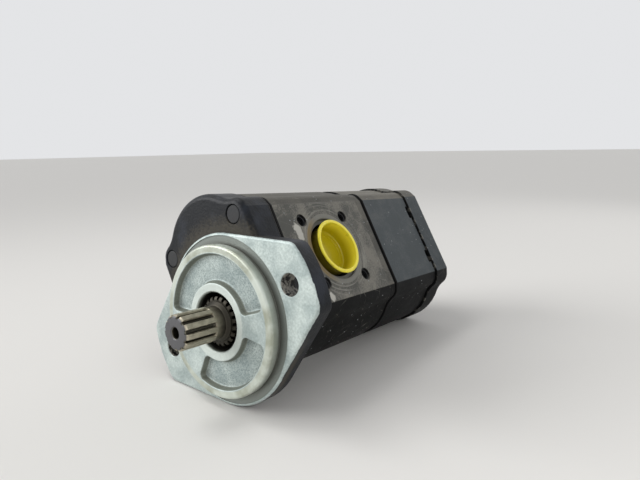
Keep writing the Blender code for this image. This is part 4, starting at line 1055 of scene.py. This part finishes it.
def gear_pitch(start, stop, first):
    """Loops over one pitch of an involute gear, chamfered at both ends."""
    base = MIDDLE * math.cos(PRESSURE_ANGLE)
    at_pitch = math.pi / (2 * GEAR_TEETH) - BACKLASH / (2 * MIDDLE)
    at_pitch += math.tan(PRESSURE_ANGLE) - PRESSURE_ANGLE
    flank = [(GEAR_ROOT, math.pi / GEAR_TEETH), (GEAR_ROOT, at_pitch + 0.05)]
    flank.append((GEAR_ROOT + 0.25, at_pitch + 0.02))
    for radius in np.linspace(base + 0.05, GEAR_TIP - 0.15, 9):
        bend = math.acos(base / radius)
        flank.append((radius, at_pitch - math.tan(bend) + bend))
    flank += [(GEAR_TIP, flank[-1][1] - 0.009), (GEAR_TIP, 0.0)]
    outline = [(radius, -half) for radius, half in flank]
    outline += [(radius, half) for radius, half in flank[-2::-1]]
    loops = []
    for place, inset in ((start, 0.4), (start + 0.4, 0.0), (stop - 0.4, 0.0), (stop, 0.4)):
        loop = []
        for radius, angle in outline:
            reach = min(radius, GEAR_TIP - inset)
            loop.append((reach * math.cos(first + angle), place, reach * math.sin(first + angle)))
        loops.append(loop)
    return np.array(loops)


def spline_pitch(teeth, tip, root, levels, columns):
    """Loops over one pitch of a spline. A level gives its place, its largest and its smallest radius."""
    phases = np.linspace(-0.5, 0.5, columns)
    share = np.clip((SPLINE_HALF_TOOTH - np.abs(phases)) / SPLINE_FLANK, 0, 1)
    share = share * share * (3 - 2 * share)
    shape = root + (tip - root) * share
    angles = phases * 2 * math.pi / teeth
    rows = [(np.clip(shape, low, high), np.full_like(angles, place)) for place, high, low in levels]
    return around_shaft(angles, rows)


def toothed(name, tree, loops, teeth, finish):
    """Repeats one pitch round the shaft and closes the seams between its copies."""
    tooth = wedge("tooth", loops)
    values = {"Piece": tooth, "Angle": 2 * math.pi / teeth, "Merge": 0.002, "Finish": finish}
    made = grown(name, [(0, 0, 0)] * teeth, tree, values)
    bpy.data.objects.remove(tooth)
    return made


def add_gear(piece, tree, span, first, finish):
    """Joins a gear to its shaft, the first tooth pointing at an angle."""
    combine(piece, toothed("gear", tree, gear_pitch(*span, first), GEAR_TEETH, finish), "UNION")


def add_tail(piece, tree, levels, finish):
    """Joins a coupling spline to a shaft, its levels counting from the middle of the coupling."""
    levels = [(COUPLING_MIDDLE + place, largest, 0) for place, largest in levels]
    tail = spline_pitch(COUPLING_TEETH, COUPLING_TIP, COUPLING_ROOT, levels, 17)
    combine(piece, toothed("tail", tree, tail, COUPLING_TEETH, finish), "UNION")


def make_drive_shaft(tree, finish):
    """Input shaft: splined end with its centre hole and run-out, toothed collar, journals, gear and tail."""
    levels = [(SHAFT_END + 8.0, 1.0, 0), (SHAFT_END + 6.5, 3.0, 0), (SHAFT_END + 0.5, 3.0, 0)]
    levels += [(SHAFT_END, 3.5, 0), (SHAFT_END, 8.0, 0), (SHAFT_END + 0.25, 8.3, 0)]
    levels += [(SHAFT_END + 1.2, SPLINE_TIP - 0.1, 0), (SHAFT_END + 1.5, SPLINE_TIP, 0)]
    levels.append((SPLINE_END - RUN_OUT, SPLINE_TIP, 0))
    for share in (0.3, 0.55, 0.75, 0.9, 1.0):
        root = SPLINE_ROOT + (NECK_RADIUS - SPLINE_ROOT) * (1 - math.sqrt(1 - share**2))
        levels.append((SPLINE_END - RUN_OUT + RUN_OUT * share, SPLINE_TIP, root))
    levels += [(place, NECK_RADIUS, NECK_RADIUS) for place in (SPLINE_END + 0.3, COLLAR_FRONT - 1.0)]
    pitch = spline_pitch(SPLINE_TEETH, SPLINE_TIP, SPLINE_ROOT, levels, 29)
    shaft = toothed("drive_shaft_steel", tree, pitch, SPLINE_TEETH, finish)
    core = [(2.0, COLLAR_FRONT - 4.0, 0), (NECK_RADIUS - 0.2, COLLAR_FRONT - 4.0, 0)]
    core += [(NECK_RADIUS - 0.2, COLLAR_FRONT - 2.2, 0.6), (COLLAR_ROOT - 0.6, COLLAR_FRONT - 0.4, 0.3)]
    core += [(COLLAR_ROOT - 0.2, COLLAR_BACK - 0.5, 0), (JOURNAL_RADIUS, COLLAR_BACK + 1.0, 0.3)]
    core += [(JOURNAL_RADIUS, FRONT_TAIL[0], 0.3), (TAIL_CORE, FRONT_TAIL[0], 0)]
    core += [(TAIL_CORE, FRONT_TAIL[1], 0), (1.0, FRONT_TAIL[1], 0)]
    combine(shaft, solid("core", turned(rounded(core), FINE)), "UNION")
    levels = [(COLLAR_FRONT, COLLAR_EDGE, 0), (COLLAR_FRONT + 0.8, COLLAR_TIP, 0)]
    levels += [(COLLAR_BACK - 0.8, COLLAR_TIP, 0), (COLLAR_BACK, COLLAR_EDGE, 0)]
    pitch = spline_pitch(COLLAR_TEETH, COLLAR_TIP, COLLAR_ROOT, levels, 17)
    combine(shaft, toothed("collar", tree, pitch, COLLAR_TEETH, finish), "UNION")
    add_gear(shaft, tree, FRONT_GEAR, math.pi / 2, finish)
    add_tail(shaft, tree, ((-10.9, COUPLING_TIP), (-0.7, COUPLING_TIP), (-0.3, TAIL_EDGE)), finish)
    dress(shaft, "drive_line", "gear_steel", finish, "drive_shaft")


def make_rear_gear(tree, finish):
    """Rear drive gear with its journals and the coupling spline at its front end."""
    core = [(1.0, REAR_TAIL[0], 0), (TAIL_CORE, REAR_TAIL[0], 0), (TAIL_CORE, REAR_TAIL[1], 0)]
    core.append((JOURNAL_RADIUS, REAR_TAIL[1], 0.3))
    core += [(JOURNAL_RADIUS, REAR_BODY[1] - SHAFT_GAP, 0.3), (1.0, REAR_BODY[1] - SHAFT_GAP, 0)]
    shaft = solid("rear_drive_gear_steel", turned(rounded(core), SHAFT_SIDES))
    add_gear(shaft, tree, REAR_GEAR, math.pi / 2, finish)
    add_tail(shaft, tree, ((0.3, TAIL_EDGE), (0.7, COUPLING_TIP), (10.8, COUPLING_TIP)), finish)
    dress(shaft, "drive_line", "gear_steel", finish, "rear_drive_gear")


def make_idler(which, tree, body, gear, finish):
    """Idler gear with a journal on each side."""
    start = body[0] + SHAFT_GAP
    stop = body[1] - SHAFT_GAP
    core = [(1.0, start, 0), (JOURNAL_RADIUS, start, 0.4), (JOURNAL_RADIUS, stop, 0.4), (1.0, stop, 0)]
    idler = solid(f"{which}_idler_steel", turned(rounded(core), SHAFT_SIDES))
    add_gear(idler, tree, gear, -math.pi / 2 + math.pi / GEAR_TEETH, finish)
    idler.data.transform(Matrix.Translation((0, 0, 2 * MIDDLE)))
    dress(idler, f"{which}_idler", "gear_steel", finish, f"{which}_idler_gear")


# Caps and threads


def make_cap(name, finish):
    """Push-in cap: raised rim with a lip, tapered cup and a step round its floor."""
    port = PORTS[name]
    top = BODY_HALF_WIDTH + CAP_RISE
    floor = BODY_HALF_WIDTH - CAP_DEPTH
    rim = port.bore - 0.1
    outer = port.bore - 0.3
    inner = outer - CAP_WALL
    step = CAP_STEP * inner
    corners = [(0.4, floor, 0), (step - 0.5, floor, 0), (step - 0.3, floor + 0.3, 0), (step, floor + 0.3, 0)]
    corners += [(step + 0.2, floor, 0), (inner, floor, 0.9), (rim - 2.1, top, 0.6), (rim, top, 0.6)]
    corners += [(rim, top - 1.3, 0.4), (outer - 1.3, top - 1.7, 0.2)]
    corners += [(outer - 1.5, floor - 1.5, 0.8), (0.4, floor - 1.5, 0)]
    cap = solid(f"{name}_cap_moulding", turned(rounded(corners, 6), FINE))
    cap.data.transform(Matrix.Translation((0, port.place, MIDDLE)) @ sideways(port.side))
    dress(cap, f"{name}_cap", "yellow_plastic", finish, f"{name}_cap")


def make_threads(tree, finish):
    """Thread ridges in the screw holes round each port."""
    for name, port in PORTS.items():
        lean = Matrix.Rotation(-port.side * math.pi / 2, 4, "Y").to_euler()
        values = {"Radius": port.thread, "Pitch": THREAD_PITCH, "Depth": THREAD_LENGTH}
        values.update({"Lean": lean, "Finish": finish})
        places = thread_places(port, BODY_HALF_WIDTH - THREAD_START)
        made = grown(f"{name}_port_threads", places, tree, values)
        dress(made, "housing", "black_painted_iron", finish)


# Floor, light and camera


def make_stage():
    """Plain pale floor and a pale background, lit by soft studio light."""
    mesh = bpy.data.meshes.new("floor")
    corners = [(x * FLOOR_REACH, y * FLOOR_REACH, 0) for x, y in ((-1, -1), (1, -1), (1, 1), (-1, 1))]
    mesh.from_pydata(corners, [], [(0, 1, 2, 3)])
    floor = bpy.data.objects.new("floor", mesh)
    bpy.context.scene.collection.objects.link(floor)
    made = bpy.data.materials.new("pale studio floor")
    made.use_nodes = True
    shader = made.node_tree.nodes["Principled BSDF"]
    shader.inputs["Base Color"].default_value = colour("#e2e0dc")
    shader.inputs["Roughness"].default_value = 0.9
    mesh.materials.append(made)
    world = bpy.data.worlds.new("pale studio")
    bpy.context.scene.world = world
    world.use_nodes = True
    tree = world.node_tree
    rays = add(tree, "ShaderNodeLightPath", {}, {})
    seen = add(tree, MATH, LARGER, {0: rays["Is Camera Ray"], 1: rays["Is Glossy Ray"]})[0]
    seen = add(tree, MATH, LARGER, {0: seen, 1: rays["Is Transmission Ray"]})[0]
    strength = add(tree, BAND, {}, {"Value": seen, "To Min": WORLD_LIGHT, "To Max": WORLD_SEEN})[0]
    background = tree.nodes["Background"]
    background.inputs["Color"].default_value = colour("#e9eaec")
    tree.links.new(strength, background.inputs["Strength"])
    sun = bpy.data.lights.new("soft sun", "SUN")
    sun.energy = SUN_POWER
    sun.angle = SUN_SPREAD
    lamp = bpy.data.objects.new("soft sun", sun)
    lamp.rotation_euler = Vector(SUN).to_track_quat("Z", "Y").to_euler()
    bpy.context.scene.collection.objects.link(lamp)
    for name, (place, size, power) in LAMPS.items():
        data = bpy.data.lights.new(name, "AREA")
        data.size = size
        data.energy = power
        lamp = bpy.data.objects.new(name, data)
        lamp.location = place
        lamp.rotation_euler = (Vector(LIT) - Vector(place)).to_track_quat("-Z", "Y").to_euler()
        bpy.context.scene.collection.objects.link(lamp)


def make_camera():
    """Camera where the photograph was taken: in front of the flange, to the right, a little above."""
    data = bpy.data.cameras.new("camera")
    data.lens = LENS
    data.sensor_width = SENSOR
    camera = bpy.data.objects.new("camera", data)
    forward = turn @ Vector(VIEW)
    upright = turn @ Vector(VIEW_UP)
    right = forward.cross(upright).normalized()
    upright = right.cross(forward).normalized()
    facing = Matrix((right, upright, -forward.normalized())).transposed()
    camera.matrix_world = Matrix.Translation(to_world @ Vector(VIEWPOINT)) @ facing.to_4x4()
    bpy.context.scene.collection.objects.link(camera)
    bpy.context.scene.camera = camera
    bpy.context.scene.view_settings.view_transform = "Standard"


def repaint(finish, *nodes):
    """Gives solids that keep their own shape a better finish."""
    for name in nodes:
        data = frame["nodes"][name].data
        data.materials.clear()
        data.materials.append(finish)


def build():
    """Makes every piece, its finish, the stage and the camera."""
    copies = copies_tree()
    make_front_cover(zinc_and_paint())
    half = BODY_HALF_WIDTH
    ends = ((FRONT_BODY[0], 1.7), (FRONT_BODY[1], 0.2))
    suction = PORTS["suction"]
    around = (suction.side, suction.place, suction.mouth)
    tones = ("#090a0a", "#565652", "#85827a", "#605e58")
    handled = worn_paint("handled black paint on cast iron", half, *tones, ends, 0.35, around)
    ends = ((PLATE[0], 0.2), (PLATE[1], 1.2))
    tones = ("#090a0a", "#504f4b", "#6c6a63", "#605e58")
    plate_paint = worn_paint("scuffed black paint on a plate", half - PLATE_INSET, *tones, ends, 0.2)
    ends = ((REAR_BODY[0], 1.2), (REAR_BODY[1], 0.0))
    tones = ("#0b0c0d", "#4a4f51", "#54595c", "#747169")
    slate = worn_paint("blue-grey primer on cast iron", half, *tones, ends, 0.08)
    ends = ((REAR_COVER[0], 0.0),)
    tones = ("#0b0c0d", "#404547", "#4f5457", "#66645e")
    rear_paint = worn_paint("scuffed black paint on a cover", half + REAR_COVER_LIP, *tones, ends, 0.1)
    make_body("front_body", FRONT_BODY, ("suction", "front_pressure"), handled)
    make_plate(plate_paint)
    make_body("rear_body", REAR_BODY, ("rear_pressure",), slate)
    make_rear_cover(rear_paint)
    black_steel = ground_metal("oil-blackened bolt steel", "#0f1012", "#1d1f22", 0.6, 0.0, 1.2)
    make_bolts(copies, black_steel)
    steel = splined_steel()
    make_drive_shaft(copies, steel)
    make_rear_gear(copies, steel)
    make_idler("front", copies, FRONT_BODY, FRONT_GEAR, steel)
    make_idler("rear", copies, REAR_BODY, REAR_GEAR, steel)
    for name, port in PORTS.items():
        make_cap(name, cap_plastic(f"moulded yellow polyethylene, {name}", port.place))
    make_threads(thread_tree(), black_steel)
    sides = [f"{body}_{end}" for body in ("front", "rear") for end in ("fore", "aft")]
    aluminium = ground_metal("die-cast aluminium", "#a9aaac", "#c4c5c6", 0.4, 1.0, 0.8)
    repaint(aluminium, *[f"{side}_block" for side in sides])
    bronze = ground_metal("turned bearing bronze", "#8a6a3c", "#a98650", 0.35, 1.0, 0.5)
    repaint(bronze, *[f"{side}_{kind}_bush" for side in sides for kind in ("idler", "drive")])
    seals = [f"{side}_block_seal" for side in sides] + ["shaft_seal", "front_cover_seal", "rear_cover_seal"]
    repaint(moulded_rubber(), *seals, "plate_front_seal", "plate_rear_seal")
    at_joints = ("front_cover", "plate", "rear_cover")
    dowels = [f"{joint}_{side}_dowel" for joint in at_joints for side in ("right", "left")]
    pin_steel = ground_metal("ground pin steel", "#8a8a8a", "#a6a6a6", 0.28, 1.0, 0.6)
    repaint(pin_steel, *dowels, "coupling_sleeve")
    make_stage()
    make_camera()


build()
